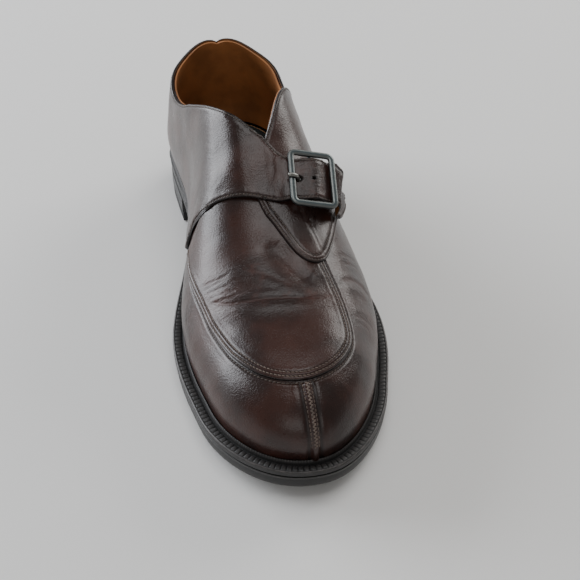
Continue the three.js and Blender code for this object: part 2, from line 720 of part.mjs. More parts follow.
// Outline of a quarter: its foot just over the welt's lip, its front, its top and the collar
const LANDING = 0.02;
const FRONT_STEPS = 34;
function quarterOutline(side, front, top) {
  const onFoot = (along) => [along, acrossAtHeight(along, side, BOTTOM_HEIGHT, FIRST_LIFT)];
  const landing = front[0][0] - LANDING;
  const stations = ALONG_GRID.filter((along) => along > 0 && along < landing - LANDING / 2);
  const foot = [HEEL_SEAM, ...stations].map(onFoot);
  const collar = tableEdge(COLLAR, side, COLLAR_STEPS).reverse();
  collar[collar.length - 1][0] = HEEL_SEAM;
  return [...foot, ...curve([onFoot(landing), ...front], FRONT_STEPS), ...top, ...collar];
}

const STRAP_TIP_SHAPE = [
  { u: 0.59, v: -1.14 }, { u: 0.71, v: -1.18 }, { u: 0.85, v: -1.05 }, { u: 0.97, v: -0.61 },
  { u: 1.00, v: -0.17 }, { u: 0.94, v: 0.22 }, { u: 0.80, v: 0.36 }, { u: 0.64, v: 0.43 },
  { u: 0.54, v: 0.60 },
];
const SLOT = { from: -8.5, to: 5.5 };

function roundHole(u, radius) {
  return Array.from({ length: 8 }, (_, i) => {
    const angle = (i + 0.5) * Math.PI / 4;
    return placeUnder(u + radius * Math.cos(angle), radius * Math.sin(angle));
  });
}

const STRAP_GRID = [
  ...ACROSS_GRID.filter((across) => across < 0.2),
  ...range(0.23, 0.80, 19),
  0.80, 0.90, 1,
];
const BUCKLED = [-0.9, -0.5, 0, 0.5, 0.9].map((share) => share * BAR_AT);

function makeMedialQuarter() {
  const lower = BUCKLED.map((u) => placeUnder(u, -STRAP_HALF));
  const upper = BUCKLED.map((u) => placeUnder(u, STRAP_HALF)).reverse();
  const tip = STRAP_TIP_SHAPE.map(({ u, v }) => placeUnder(u * STRAP_TIP, v * STRAP_HALF));
  const end = curve([lower[lower.length - 1], ...tip, upper[0]], 14).slice(1, -1);
  return sheet({
    outline: quarterOutline(-1, MEDIAL_FRONT, [...lower, ...end, ...upper]),
    holes: [roundHole(PRONG_HOLE_AT, PRONG_HOLE / 2)],
    lifts: (along, across) => {
      const inner = strapLift(along, across);
      return [inner, inner + OVERLAY];
    },
    acrossGrid: STRAP_GRID,
  });
}
function makeLateralQuarter() {
  const half = LOOP_WIDTH / 2 + 2 * GAP;
  const slot = [[SLOT.from, -half], [SLOT.to, -half], [SLOT.to, half], [SLOT.from, half]]
    .map(([u, v]) => placeUnder(u, v));
  return sheet({
    outline: quarterOutline(1, LATERAL_FRONT, []),
    holes: [slot],
    lifts: (along) => [quarterLift(along), quarterLift(along) + OVERLAY],
  });
}

// Buckle pieces, drawn in the buckle's own frame with x along u, y along v, z along w
function toBuckle(geometry) {
  const matrix = new THREE.Matrix4().makeBasis(buckle.u, buckle.v, buckle.w);
  matrix.setPosition(buckle.origin);
  return geometry.applyMatrix4(matrix);
}

function roundedRectangle(width, length, radius, Kind) {
  const x = width / 2;
  const y = length / 2;
  const path = new Kind();
  path.moveTo(x, -y + radius);
  path.lineTo(x, y - radius);
  path.absarc(x - radius, y - radius, radius, 0, Math.PI / 2, false);
  path.absarc(-x + radius, y - radius, radius, Math.PI / 2, Math.PI, false);
  path.absarc(-x + radius, -y + radius, radius, Math.PI, 1.5 * Math.PI, false);
  path.absarc(x - radius, -y + radius, radius, 1.5 * Math.PI, 2 * Math.PI, false);
  return path;
}

function makeBuckleFrame() {
  const inset = (edge, Kind) => roundedRectangle(
    BUCKLE_WIDTH - 2 * edge,
    BUCKLE_LENGTH - 2 * edge,
    BUCKLE_CORNER - edge,
    Kind,
  );
  const outer = inset(BAR_BEVEL, THREE.Shape);
  outer.holes.push(inset(BUCKLE_BAR - BAR_BEVEL, THREE.Path));
  const ring = new THREE.ExtrudeGeometry(outer, {
    depth: BUCKLE_BAR - 2 * BAR_BEVEL,
    bevelEnabled: true,
    bevelThickness: BAR_BEVEL,
    bevelSize: BAR_BEVEL,
    bevelSegments: 1,
    curveSegments: 5,
  }).translate(0, 0, -BUCKLE_BAR / 2 + BAR_BEVEL);
  const span = BUCKLE_LENGTH - BUCKLE_BAR;
  const centreBar = new THREE.CylinderGeometry(CENTRE_BAR / 2, CENTRE_BAR / 2, span, 12);
  centreBar.translate(0, 0, -CENTRE_BAR_DROP);
  let frame = solid(ring).add(solid(centreBar));
  [-1, 1].forEach((end) => {
    const post = new THREE.BoxGeometry(CENTRE_BAR, CENTRE_BAR, CENTRE_BAR_DROP + CENTRE_BAR / 2);
    post.translate(0, end * span / 2, -(CENTRE_BAR_DROP + CENTRE_BAR / 2) / 2);
    frame = frame.add(solid(post));
  });
  const notch = new THREE.BoxGeometry(BUCKLE_BAR * 2, PRONG + 2 * GAP, PRONG_NOTCH * 2);
  notch.translate(-BAR_AT, 0, BUCKLE_BAR / 2);
  return toBuckle(geometryOf(frame.subtract(solid(notch))));
}

// Wire path of the prong in u and w: from its eye, under the strap, up its hole, onto the bar
function makeProng() {
  const rest = BUCKLE_BAR / 2 - PRONG_NOTCH + GAP + PRONG / 2;
  const eyeOuter = CENTRE_BAR / 2 + GAP + PRONG_EYE;
  const eye = new THREE.Shape().absarc(0, -CENTRE_BAR_DROP, eyeOuter, 0, 2 * Math.PI, false);
  const eyeInner = CENTRE_BAR / 2 + GAP;
  eye.holes.push(new THREE.Path().absarc(0, -CENTRE_BAR_DROP, eyeInner, 0, 2 * Math.PI, true));
  const ring = new THREE.ExtrudeGeometry(eye, { depth: PRONG, bevelEnabled: false, curveSegments: 6 });
  ring.translate(0, 0, -PRONG / 2).rotateX(Math.PI / 2);
  const wire = [
    { u: -CENTRE_BAR / 2 - GAP - 0.4, w: -CENTRE_BAR_DROP - 0.6 },
    { u: PRONG_HOLE_AT + 2.4, w: -CENTRE_BAR_DROP - 0.9 },
    { u: PRONG_HOLE_AT + 0.8, w: UNDER_BARS + 0.6 },
    { u: PRONG_HOLE_AT - 0.2, w: UNDER_BARS + OVERLAY + 0.5 },
    { u: PRONG_HOLE_AT - 1.5, w: rest - 0.7 },
    { u: PRONG_HOLE_AT - 3.2, w: rest },
    { u: -BAR_AT - 1.3, w: rest },
  ];
  const points = wire.map(({ u, w }) => new THREE.Vector3(u, 0, w));
  const path = new THREE.CatmullRomCurve3(points, false, 'centripetal');
  const round = new THREE.Shape().absarc(0, 0, PRONG / 2, 0, 2 * Math.PI, false);
  const pin = new THREE.ExtrudeGeometry(round, { steps: 16, curveSegments: 4, extrudePath: path });
  return toBuckle(geometryOf(solid(ring).add(solid(pin))));
}

// The leather loop that holds the centre bar to the quarter, open in the middle for the prong
function makeLoop() {
  const inner = CENTRE_BAR / 2 + GAP;
  const outer = inner + LOOP;
  const back = 4.2;
  const lap = 1;
  const centre = -CENTRE_BAR_DROP;
  const shape = new THREE.Shape();
  shape.moveTo(lap, centre + outer);
  shape.lineTo(0, centre + outer);
  shape.absarc(0, centre, outer, Math.PI / 2, 1.5 * Math.PI, false);
  shape.lineTo(back, centre - outer);
  shape.lineTo(back, centre - inner);
  shape.lineTo(0, centre - inner);
  shape.absarc(0, centre, inner, 1.5 * Math.PI, Math.PI / 2, true);
  shape.lineTo(lap, centre + inner);
  shape.closePath();
  const strip = new THREE.ExtrudeGeometry(shape, {
    depth: LOOP_WIDTH,
    bevelEnabled: false,
    curveSegments: 5,
  });
  strip.translate(0, 0, -LOOP_WIDTH / 2).rotateX(Math.PI / 2);
  const slot = new THREE.BoxGeometry(4 * outer, PRONG + 4 * GAP, 4 * outer);
  slot.translate(-outer, 0, -CENTRE_BAR_DROP + LOOP);
  return toBuckle(geometryOf(solid(strip).subtract(solid(slot))));
}

// Assembly
const LEATHER = { color: 0x3a2420, roughness: 0.35, metalness: 0 };
const EDGE = { color: 0x1b1a19, roughness: 0.6, metalness: 0 };
const LINING = { color: 0xa9692f, roughness: 0.7, metalness: 0 };
const PAD = { color: 0x1d2a2b, roughness: 0.8, metalness: 0 };
const METAL = { color: 0x3a4347, roughness: 0.35, metalness: 0.9 };
const PIECES = [
  { name: 'heel_top_piece', geometry: heelBlock(0, TOP_PIECE, 2 * HEEL_INSET), look: EDGE },
  { name: 'heel', geometry: heelBlock(TOP_PIECE + GAP, HEEL_HEIGHT - GAP, HEEL_INSET), look: EDGE },
  { name: 'outsole', geometry: makeOutsole(), look: EDGE },
  { name: 'welt', geometry: makeWelt(), look: EDGE },
  { name: 'insole', geometry: makeInsole(), look: LINING },
  { name: 'heel_sock', geometry: makeHeelSock(), look: PAD },
  { name: 'upper', geometry: makeUpper(), look: LEATHER },
  { name: 'apron', geometry: makeApron(), look: LEATHER },
  { name: 'lateral_quarter', geometry: makeLateralQuarter(), look: LEATHER },
  { name: 'medial_quarter_strap', geometry: makeMedialQuarter(), look: LEATHER },
  { name: 'buckle_frame', geometry: makeBuckleFrame(), look: METAL },
  { name: 'buckle_prong', geometry: makeProng(), look: METAL },
  { name: 'buckle_loop', geometry: makeLoop(), look: LEATHER },
];

const shoe = new THREE.Group();
PIECES.forEach(({ name, geometry, look }) => {
  const mesh = new THREE.Mesh(geometry, new THREE.MeshStandardMaterial(look));
  mesh.name = name;
  shoe.add(mesh);
});

export default shoe;
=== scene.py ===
import json
import math

import bpy
import numpy as np
from mathutils import Matrix, Vector
from mathutils.geometry import delaunay_2d_cdt

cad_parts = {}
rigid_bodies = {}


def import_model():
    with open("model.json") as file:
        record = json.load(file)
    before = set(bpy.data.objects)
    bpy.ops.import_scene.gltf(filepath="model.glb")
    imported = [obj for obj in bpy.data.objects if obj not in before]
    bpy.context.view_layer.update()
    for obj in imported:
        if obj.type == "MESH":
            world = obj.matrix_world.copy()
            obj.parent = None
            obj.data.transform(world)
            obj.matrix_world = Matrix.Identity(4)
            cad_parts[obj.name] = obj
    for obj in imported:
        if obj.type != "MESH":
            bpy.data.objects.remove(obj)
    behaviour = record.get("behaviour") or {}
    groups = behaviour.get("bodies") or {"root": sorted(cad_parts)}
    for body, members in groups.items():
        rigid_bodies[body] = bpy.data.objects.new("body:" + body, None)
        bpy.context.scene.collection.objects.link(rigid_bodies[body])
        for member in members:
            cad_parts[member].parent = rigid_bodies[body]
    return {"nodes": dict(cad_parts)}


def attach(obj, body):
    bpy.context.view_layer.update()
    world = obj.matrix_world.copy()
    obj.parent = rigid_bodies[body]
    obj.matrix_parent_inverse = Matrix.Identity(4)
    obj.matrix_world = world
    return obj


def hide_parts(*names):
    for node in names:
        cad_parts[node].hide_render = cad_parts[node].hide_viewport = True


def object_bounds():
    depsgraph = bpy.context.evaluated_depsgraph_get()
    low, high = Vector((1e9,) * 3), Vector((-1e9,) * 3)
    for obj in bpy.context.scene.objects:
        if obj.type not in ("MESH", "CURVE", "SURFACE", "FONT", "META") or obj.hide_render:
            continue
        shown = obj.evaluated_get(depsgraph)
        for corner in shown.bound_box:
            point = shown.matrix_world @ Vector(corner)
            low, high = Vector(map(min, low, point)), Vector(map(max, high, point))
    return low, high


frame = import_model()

bl_info = {
    "name": "Monk strap shoe",
    "version": (1, 0, 0),
    "blender": (4, 5, 0),
    "location": "3D View > Sidebar > Shoe",
    "description": "Dresses the packed solids of a left monk strap shoe and sets its stage",
    "category": "Object",
}

MM = 0.001
CAD_BOX = [list(corner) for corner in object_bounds()]


# Sizes of the last, the bottom and the leather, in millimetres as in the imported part
LAST_LENGTH = 284.0
BALL_WIDTH = 95.0
INSTEP_HEIGHT = 76.0
HEEL_HEIGHT = 16.5
TOE_SPRING = 7.0
SWELL_HEIGHT = 16.0
OUTSOLE = 7.5
INSOLE = 2.4
WELT = 3.2
WELT_WIDTH = 9.0
LIP = 2.0
HEEL_LENGTH = 73.0
TOP_PIECE = 6.0
WALL = 1.8
APRON = 1.2
OVERLAY = 1.6
GAP = 0.3
STACK = OUTSOLE + GAP + INSOLE
LAST_BACK = HEEL_LENGTH / 2 - 0.62 * WELT_WIDTH

PLAN = (
    # at, medial, lateral, swell, edge
    (0.000, 0.326, 0.326, 0.030, 0.62),
    (0.125, 0.326, 0.337, 0.030, 0.62),
    (0.235, 0.305, 0.340, 0.028, 0.62),
    (0.330, 0.290, 0.360, 0.026, 0.66),
    (0.480, 0.365, 0.450, 0.030, 0.85),
    (0.640, 0.475, 0.520, 0.026, 1.00),
    (0.760, 0.465, 0.480, 0.022, 1.00),
    (0.840, 0.425, 0.410, 0.016, 1.00),
    (1.000, 0.350, 0.310, 0.016, 1.00),
)
PROFILE = (
    # at, heel, spring, crown, square
    (0.000, 1.00, 0.00, 1.28, 2.6),
    (0.125, 1.02, 0.00, 1.28, 2.6),
    (0.235, 1.08, 0.00, 1.28, 2.5),
    (0.330, 0.76, 0.00, 1.22, 2.4),
    (0.480, 0.24, 0.00, 1.00, 2.35),
    (0.640, -0.04, 0.00, 0.72, 2.25),
    (0.760, 0.00, 0.00, 0.585, 2.4),
    (0.840, 0.00, 0.23, 0.525, 2.6),
    (1.000, 0.00, 1.00, 0.43, 2.7),
)
HEEL_AT, HEEL_ALONG, HEEL_SQUARE = 0.125, 0.16, 2.1
TOE_AT, TOE_ALONG, TOE_SQUARE = 0.84, 0.78, 2.2


def spline(rows, column):
    """Natural cubic spline through a column of a table, straight beyond its ends."""
    x = np.array([row[0] for row in rows], float)
    y = np.array([row[column] for row in rows], float)
    n, span = len(x), np.diff(x)
    system, right = np.eye(n), np.zeros(n)
    for i in range(1, n - 1):
        system[i, i - 1:i + 2] = span[i - 1], 2 * (span[i - 1] + span[i]), span[i]
        right[i] = 6 * ((y[i + 1] - y[i]) / span[i] - (y[i] - y[i - 1]) / span[i - 1])
    bend = np.linalg.solve(system, right)

    def value(at):
        at = np.asarray(at, float)
        i = np.clip(np.searchsorted(x, at, side="left") - 1, 0, n - 2)
        t = np.clip((at - x[i]) / span[i], 0, 1)
        s = 1 - t
        inside = s * y[i] + t * y[i + 1]
        inside = inside + ((s ** 3 - s) * bend[i] + (t ** 3 - t) * bend[i + 1]) * span[i] ** 2 / 6
        slope = (y[i + 1] - y[i]) / span[i] + np.where(at < x[0], -bend[i + 1], bend[i]) * span[i] / 6
        return inside + (at - x[i] - t * span[i]) * slope

    return value


COLUMN = {name: spline(PLAN, i + 1) for i, name in enumerate(("medial", "lateral", "swell", "edge"))}
COLUMN.update({name: spline(PROFILE, i + 1) for i, name in enumerate(("heel", "spring", "crown", "square"))})


def y_at(at):
    return LAST_BACK - at * LAST_LENGTH


def held_at(y):
    return np.clip((LAST_BACK - y) / LAST_LENGTH, 0, 1)


def underside(y):
    """Height of the sole's underside: level under the heel and under the ball."""
    at = (LAST_BACK - y) / LAST_LENGTH
    rise = COLUMN["heel"](at) * HEEL_HEIGHT + COLUMN["spring"](at) * TOE_SPRING
    return np.clip(rise, 0, HEEL_HEIGHT)


def seat(y):
    return underside(y) + STACK


def half_width(at, side):
    return np.where(side < 0, COLUMN["medial"](at), COLUMN["lateral"](at)) * BALL_WIDTH


def last_point(along, across):
    """Points of the bare last: along 0 to 1 from heel to toe, across -1 to 1 over the crown."""
    side = np.where(across < 0, -1.0, 1.0)
    lean = (1 - np.minimum(np.abs(across), 1)) * math.pi / 2
    straight = (along - HEEL_ALONG) / (TOE_ALONG - HEEL_ALONG)
    back = straight < 0
    at = HEEL_AT + np.clip(straight, 0, 1) * (TOE_AT - HEEL_AT)
    turn = np.where(back, 1 - along / HEEL_ALONG, np.maximum((along - TOE_ALONG) / (1 - TOE_ALONG), 0))
    c, s = np.cos(turn * math.pi / 2), np.sin(turn * math.pi / 2)
    square = np.where(back, HEEL_SQUARE, TOE_SQUARE)
    radius = (np.abs(c) ** square + np.abs(s) ** square) ** (-1 / square)
    end_length = np.where(back, HEEL_AT, 1 - TOE_AT) * LAST_LENGTH
    forward = np.where(back, 1.0, -1.0) * end_length * s * radius
    step = 0.001
    taper = (half_width(TOE_AT, side) - half_width(TOE_AT - step, side)) / (step * LAST_LENGTH)
    width = half_width(at, side) + np.where(straight > 1, taper * np.abs(forward), 0)
    sideways = side * width * c * radius
    rim_at = held_at(y_at(at) + forward)
    square = COLUMN["square"](rim_at)
    cos, sin = np.abs(np.cos(lean)), np.abs(np.sin(lean))
    profile = (cos ** square + sin ** square) ** (-1 / square)
    f, g = cos * profile, sin * profile
    own_y = y_at(at) + forward * f
    height = COLUMN["crown"](held_at(own_y)) * INSTEP_HEIGHT * g
    t = height / SWELL_HEIGHT
    bulge = COLUMN["swell"](rim_at) * BALL_WIDTH * t * t * np.exp(2 * (1 - t))
    spread = f + bulge / np.maximum(np.hypot(sideways, forward), 1)
    return np.stack([sideways * spread, y_at(at) + forward * spread, seat(own_y) + height], -1)


# The flat pattern, in millimetres: it unrolls the last from its crown, and fans out round both ends
REACH = 85.0
FLAT_HEEL, FLAT_TOE = y_at(HEEL_AT), y_at(TOE_AT)


def to_flat(places):
    """Flat points of pattern places."""
    along, across = np.asarray(places, float).T
    held = np.clip((along - HEEL_ALONG) / (TOE_ALONG - HEEL_ALONG), 0, 1)
    centre = FLAT_HEEL + held * (FLAT_TOE - FLAT_HEEL)
    back = np.where(along < HEEL_ALONG, 1 - along / HEEL_ALONG, 0)
    toe = np.maximum((along - TOE_ALONG) / (1 - TOE_ALONG), 0)
    turn = (back - toe) * math.pi / 2
    return np.stack([across * REACH * np.cos(turn), centre + np.abs(across) * REACH * np.sin(turn)], -1)


def to_pattern(points):
    """Pattern places of flat points."""
    x, y = points[..., 0], points[..., 1]
    centre = np.clip(y, FLAT_TOE, FLAT_HEEL)
    beyond = y - centre
    turn = np.arctan2(np.abs(beyond), np.abs(x)) / (math.pi / 2)
    straight = HEEL_ALONG + (FLAT_HEEL - centre) / (FLAT_HEEL - FLAT_TOE) * (TOE_ALONG - HEEL_ALONG)
    ahead = np.where(beyond < 0, TOE_ALONG + (1 - TOE_ALONG) * turn, straight)
    along = np.where(beyond > 0, HEEL_ALONG * (1 - turn), ahead)
    across = np.where(x < 0, -1.0, 1.0) * np.hypot(x, beyond) / REACH
    return along, across


def surface(points, lift=0.0):
    """Points of the last over flat points, lifted along its normal."""
    points = np.asarray(points, float)
    place = last_point(*to_pattern(points))
    centre = np.clip(points[..., 1], FLAT_TOE, FLAT_HEEL)
    arm = np.stack([points[..., 0], points[..., 1] - centre], -1)
    length = np.linalg.norm(arm, axis=-1, keepdims=True)
    inner = arm * np.minimum(1, (REACH - 0.3) / np.maximum(length, 1e-9))
    inner[..., 1] += centre
    step = 0.1
    dx = last_point(*to_pattern(inner + (step, 0))) - last_point(*to_pattern(inner - (step, 0)))
    dy = last_point(*to_pattern(inner + (0, step))) - last_point(*to_pattern(inner - (0, step)))
    normal = np.cross(dx, dy)
    normal[..., 2] *= np.clip((REACH - length[..., 0]) / 1.0, 0, 1)
    normal /= np.maximum(np.linalg.norm(normal, axis=-1, keepdims=True), 1e-12)
    return place + normal * np.asarray(lift, float)[..., None], normal


# Pattern tables

COLLAR = (
    # along, medial, lateral
    (0.000, -0.620, 0.620),
    (0.080, -0.650, 0.650),
    (0.160, -0.690, 0.690),
    (0.220, -0.675, 0.675),
    (0.280, -0.600, 0.600),
    (0.330, -0.480, 0.430),
    (0.380, -0.295, 0.270),
    (0.420, -0.080, 0.165),
    (0.451, 0.085, 0.085),
)
APRON_EDGE = (
    # along, medial, lateral
    (1.000, -0.330, 0.330),
    (0.930, -0.343, 0.340),
    (0.865, -0.380, 0.382),
    (0.805, -0.425, 0.420),
    (0.745, -0.490, 0.405),
    (0.690, -0.535, 0.352),
    (0.640, -0.575, 0.300),
    (0.570, -0.660, 0.230),
    (0.530, -0.690, 0.190),
)
APRON_END, APRON_END_HALF = 0.485, 0.22
MEDIAL_FRONT = (
    (0.430, -0.960), (0.449, -0.905), (0.469, -0.845), (0.487, -0.790), (0.498, -0.745), (0.496, -0.705),
    (0.500, -0.628), (0.510, -0.530), (0.516, -0.400), (0.524, -0.254), (0.533, -0.122), (0.542, 0.007),
    (0.547, 0.110),
)
LATERAL_FRONT = (
    (0.430, 0.960), (0.450, 0.860), (0.478, 0.740), (0.510, 0.625), (0.545, 0.515), (0.581, 0.441),
    (0.608, 0.385), (0.630, 0.332), (0.643, 0.280), (0.647, 0.230), (0.643, 0.180), (0.630, 0.126),
    (0.607, 0.078), (0.578, 0.024), (0.546, -0.035), (0.512, -0.057), (0.475, -0.045),
)
FIRST_LIFT = WALL + GAP
FRONT_LIFT = FIRST_LIFT + APRON + GAP
STRAP_LIFT = FRONT_LIFT + OVERLAY + GAP
SKIN, UNDER_QUARTER = 0.06, 0.1
FOOT_HEIGHT = WELT + LIP - INSOLE + 0.15

# Buckle: centre in the pattern, sizes in millimetres
BUCKLE_ALONG, BUCKLE_ACROSS, BUCKLE_INNER, BUCKLE_OUTER, BUCKLE_REACH = 0.513, 0.305, 0.499, 0.489, 0.16
BUCKLE_TILT = 14.0
BUCKLE_LENGTH, BUCKLE_WIDTH = 33.0, 26.0
BUCKLE_BAR, CENTRE_BAR, CENTRE_BAR_DROP = 2.2, 1.8, 2.5
STRAP_WIDTH, STRAP_TIP = 24.4, 25.7
LOOP, PRONG, PRONG_HOLE, PRONG_HOLE_AT = 0.7, 1.8, 3.8, -7.6
STRAP_TIP_SHAPE = (
    (0.59, -1.14), (0.71, -1.18), (0.85, -1.05), (0.97, -0.61), (1.00, -0.17), (0.94, 0.22),
    (0.80, 0.36), (0.64, 0.43), (0.54, 0.60),
)

# Creases over the flat pattern: depth and half width in millimetres, then the places they run through.
# A negative depth is a ridge.
CREASES = (
    (0.55, 0.75, ((-43, -165), (-40, -170), (-36, -174), (-28, -179), (-20.5, -181), (-10, -182.5),
                  (-0.5, -183.5), (7, -184.5), (15, -185), (23, -184), (29, -182.5))),
    (-0.30, 2.4, ((-38, -178), (-30, -183), (-20, -186), (-8, -187.5), (6, -189), (18, -189), (26, -187))),
    (-0.36, 1.7, ((-40, -166.5), (-34, -171), (-27, -175), (-19, -177.5), (-10, -179), (2, -180))),
    (0.22, 0.7, ((-43, -170), (-36.5, -173.2), (-30, -174.8), (-25, -175.6), (-20.5, -175.8), (-15, -177))),
    (0.30, 0.75, ((-46, -157.5), (-40, -159.5), (-34.5, -161), (-29, -162), (-25, -162))),
    (0.26, 0.7, ((-44.5, -160.5), (-38, -162.5), (-32.5, -163.3), (-26, -164.2))),
    (0.24, 0.7, ((-43.5, -163.8), (-37.5, -166), (-31, -167.3), (-25.5, -169))),
    (0.18, 0.7, ((-42, -168), (-35, -170), (-29, -171.3), (-23, -172))),
    (0.22, 1.5, ((-21, -163), (-16, -164.5), (-10.5, -167), (-5, -170), (-0.5, -173.5), (3.5, -176),
                 (10, -178))),
    (-0.22, 2.4, ((-18, -168.5), (-11, -171), (-6, -174), (-1, -177))),
    (1.5, 5.0, ((-4, -149), (0, -154), (4, -160), (7, -166), (12, -171), (19, -174.5))),
    (-0.35, 5.0, ((-14, -156), (-10, -165), (-4, -174), (6, -180), (17, -182))),
    (-0.40, 2.8, ((16, -170), (21, -171.5), (26, -170))),
    (0.28, 1.3, ((37, -152.5), (45, -149.5), (55, -146))),
    (0.22, 1.1, ((37, -158.5), (44.5, -154.5), (54, -151))),
    (0.45, 1.6, ((33, -171), (40.5, -167), (46.5, -165), (54, -164.5), (62, -166))),
    (-0.35, 2.8, ((34, -176), (41, -172.5), (48, -171), (56, -171))),
    (0.25, 1.2, ((38, -190.5), (44.5, -189.5), (52.5, -188.5), (60, -189))),
    (0.18, 1.0, ((40, -194.5), (47, -193.5), (54, -193))),
    (-0.25, 2.2, ((39, -186), (46, -184.5), (55, -184))),
    (0.32, 1.2, ((-54, -158), (-58, -162), (-61, -170), (-63, -178))),
    (0.22, 1.0, ((-56, -152), (-60, -157), (-64, -165))),
)


def smooth(value, low, high):
    t = np.clip((np.asarray(value, float) - low) / (high - low), 0, 1)
    return t * t * (3 - 2 * t)


def length_along(line):
    return np.concatenate([[0], np.cumsum(np.linalg.norm(np.diff(line, axis=0), axis=1))])


def resample(line, step):
    """Points of an open line at an even step, its two ends kept."""
    run = length_along(line)
    count = max(int(round(run[-1] / step)), 1)
    at = np.linspace(0, run[-1], count + 1)
    return np.stack([np.interp(at, run, line[:, i]) for i in range(line.shape[1])], -1)


def smooth_curve(places, step=0.5):
    """Smooth line through places."""
    places = np.asarray(places, float)
    run = length_along(places)
    rows = [(t, *place) for t, place in zip(run, places)]
    at = np.linspace(0, run[-1], max(int(run[-1] / step), 2) + 1)
    return np.stack([spline(rows, i + 1)(at) for i in range(places.shape[1])], -1)


def table_edge(rows, column):
    return smooth_curve(to_flat([(row[0], row[column]) for row in rows]))


def lay(line, lift=2.5, form=surface):
    """Real places of flat points."""
    return form(line, lift)[0]


def even_line(line, step=1.0, form=surface):
    """A flat line resampled at an even real step."""
    real = length_along(lay(line, form=form))
    count = max(int(round(real[-1] / step)), 1)
    at = np.linspace(0, real[-1], count + 1)
    return np.stack([np.interp(at, real, line[:, i]) for i in range(2)], -1)


def even_ring(line, form=surface):
    """A closed flat line resampled at an even real step."""
    return even_line(np.vstack([line, line[:1]]), form=form)[:-1]


def nearest_on_line(points, line, closed=False):
    """Distance of real points to a real line, and how far along it the nearest place lies."""
    start = line if closed else line[:-1]
    end = np.roll(line, -1, 0) if closed else line[1:]
    way = end - start
    span = np.linalg.norm(way, axis=1)
    run = np.concatenate([[0], np.cumsum(span)])[:-1]
    square = np.maximum(span ** 2, 1e-12)
    best, along = np.full(len(points), 1e9), np.zeros(len(points))
    for chunk in range(0, len(points), 1500):
        part = points[chunk:chunk + 1500]
        from_start = part[:, None] - start[None]
        t = np.clip((from_start * way[None]).sum(-1) / square, 0, 1)
        away = np.linalg.norm(from_start - t[..., None] * way[None], axis=-1)
        pick = away.argmin(1)
        rows = np.arange(len(part))
        best[chunk:chunk + 1500] = away[rows, pick]
        along[chunk:chunk + 1500] = run[pick] + t[rows, pick] * span[pick]
    return best, along


def is_inside(points, outline):
    """Whether flat points lie inside a closed flat outline."""
    x, y = points[:, 0], points[:, 1]
    inside = np.zeros(len(points), bool)
    ends = np.roll(outline, -1, 0)
    for (ax, ay), (bx, by) in zip(outline, ends):
        if ay == by:
            continue
        crossing = (ay > y) != (by > y)
        inside ^= crossing & (x < (bx - ax) * (y - ay) / (by - ay) + ax)
    return inside


def beside(line, offset, closed=False, form=surface):
    """A flat line moved to its left by a real distance, without the stretches that fold over."""
    if closed:
        way = np.roll(line, -1, 0) - np.roll(line, 1, 0)
    else:
        way = np.gradient(line, axis=0)
    left = np.stack([-way[:, 1], way[:, 0]], -1)
    left /= np.maximum(np.linalg.norm(left, axis=1, keepdims=True), 1e-9)
    step = 0.4 * np.sign(offset)
    real = lay(line, form=form)
    stretch = np.linalg.norm(lay(line + left * step, form=form) - real, axis=1) / abs(step)
    moved = line + left * (offset / np.clip(stretch, 0.3, 2))[:, None]
    away, _ = nearest_on_line(lay(moved, form=form), real, closed)
    return moved[away > 0.93 * abs(offset)]


def away_from(flat, line, closed=False, form=surface):
    """Real distance of flat points to a flat line, and how far along it the nearest place lies."""
    return nearest_on_line(lay(flat, form=form), lay(line, form=form), closed)


# The buckle's own axes

def buckle_frame():
    """Origin and axes of the buckle: u along the strap to its tip, v towards the heel, w off the foot."""
    place, normal = surface(to_flat([(BUCKLE_ALONG, BUCKLE_ACROSS)]))
    place, normal = place[0], normal[0]
    outer = (BUCKLE_OUTER, BUCKLE_ACROSS + BUCKLE_REACH)
    inner = (BUCKLE_INNER, BUCKLE_ACROSS - BUCKLE_REACH)
    ends = lay(to_flat([outer, inner]), 0.0)
    u = ends[0] - ends[1]
    u -= normal * (u @ normal)
    u /= np.linalg.norm(u)
    v = np.cross(normal, u)
    tilt = math.radians(-BUCKLE_TILT)
    u = u * math.cos(tilt) + np.cross(v, u) * math.sin(tilt)
    w = np.cross(u, v)
    return place + normal * (STRAP_LIFT + OVERLAY + GAP + BUCKLE_BAR / 2), u, v, w


BUCKLE_ORIGIN, BUCKLE_U, BUCKLE_V, BUCKLE_W = buckle_frame()
LOOSE_LIFT = STRAP_LIFT + 3
STRAP_HALF = STRAP_WIDTH / 2
BAR_AT = (BUCKLE_WIDTH - BUCKLE_BAR) / 2
UNDER_BARS = -(BUCKLE_BAR / 2 + GAP + OVERLAY)


def in_buckle(points):
    away = np.asarray(points) - BUCKLE_ORIGIN
    return away @ BUCKLE_U, away @ BUCKLE_V, away @ BUCKLE_W


def from_buckle(places):
    places = np.asarray(places, float)
    axes = np.stack([BUCKLE_U, BUCKLE_V, BUCKLE_W])
    return BUCKLE_ORIGIN + places @ axes


def place_under(places):
    """Flat points under places of the buckle's plane, for a strap lifted off the quarter."""
    target = np.asarray(places, float)
    flat = np.repeat(to_flat([(BUCKLE_ALONG, BUCKLE_ACROSS)]), len(target), 0)
    step = 0.2
    for _ in range(14):
        here = np.stack(in_buckle(lay(flat, LOOSE_LIFT))[:2], -1)
        a = (np.stack(in_buckle(lay(flat + (step, 0), LOOSE_LIFT))[:2], -1) - here) / step
        b = (np.stack(in_buckle(lay(flat + (0, step), LOOSE_LIFT))[:2], -1) - here) / step
        miss = target - here
        det = a[:, 0] * b[:, 1] - a[:, 1] * b[:, 0]
        move_x = (miss[:, 0] * b[:, 1] - miss[:, 1] * b[:, 0]) / det
        move_y = (a[:, 0] * miss[:, 1] - a[:, 1] * miss[:, 0]) / det
        flat = flat + np.clip(np.stack([move_x, move_y], -1), -8, 8)
    return flat


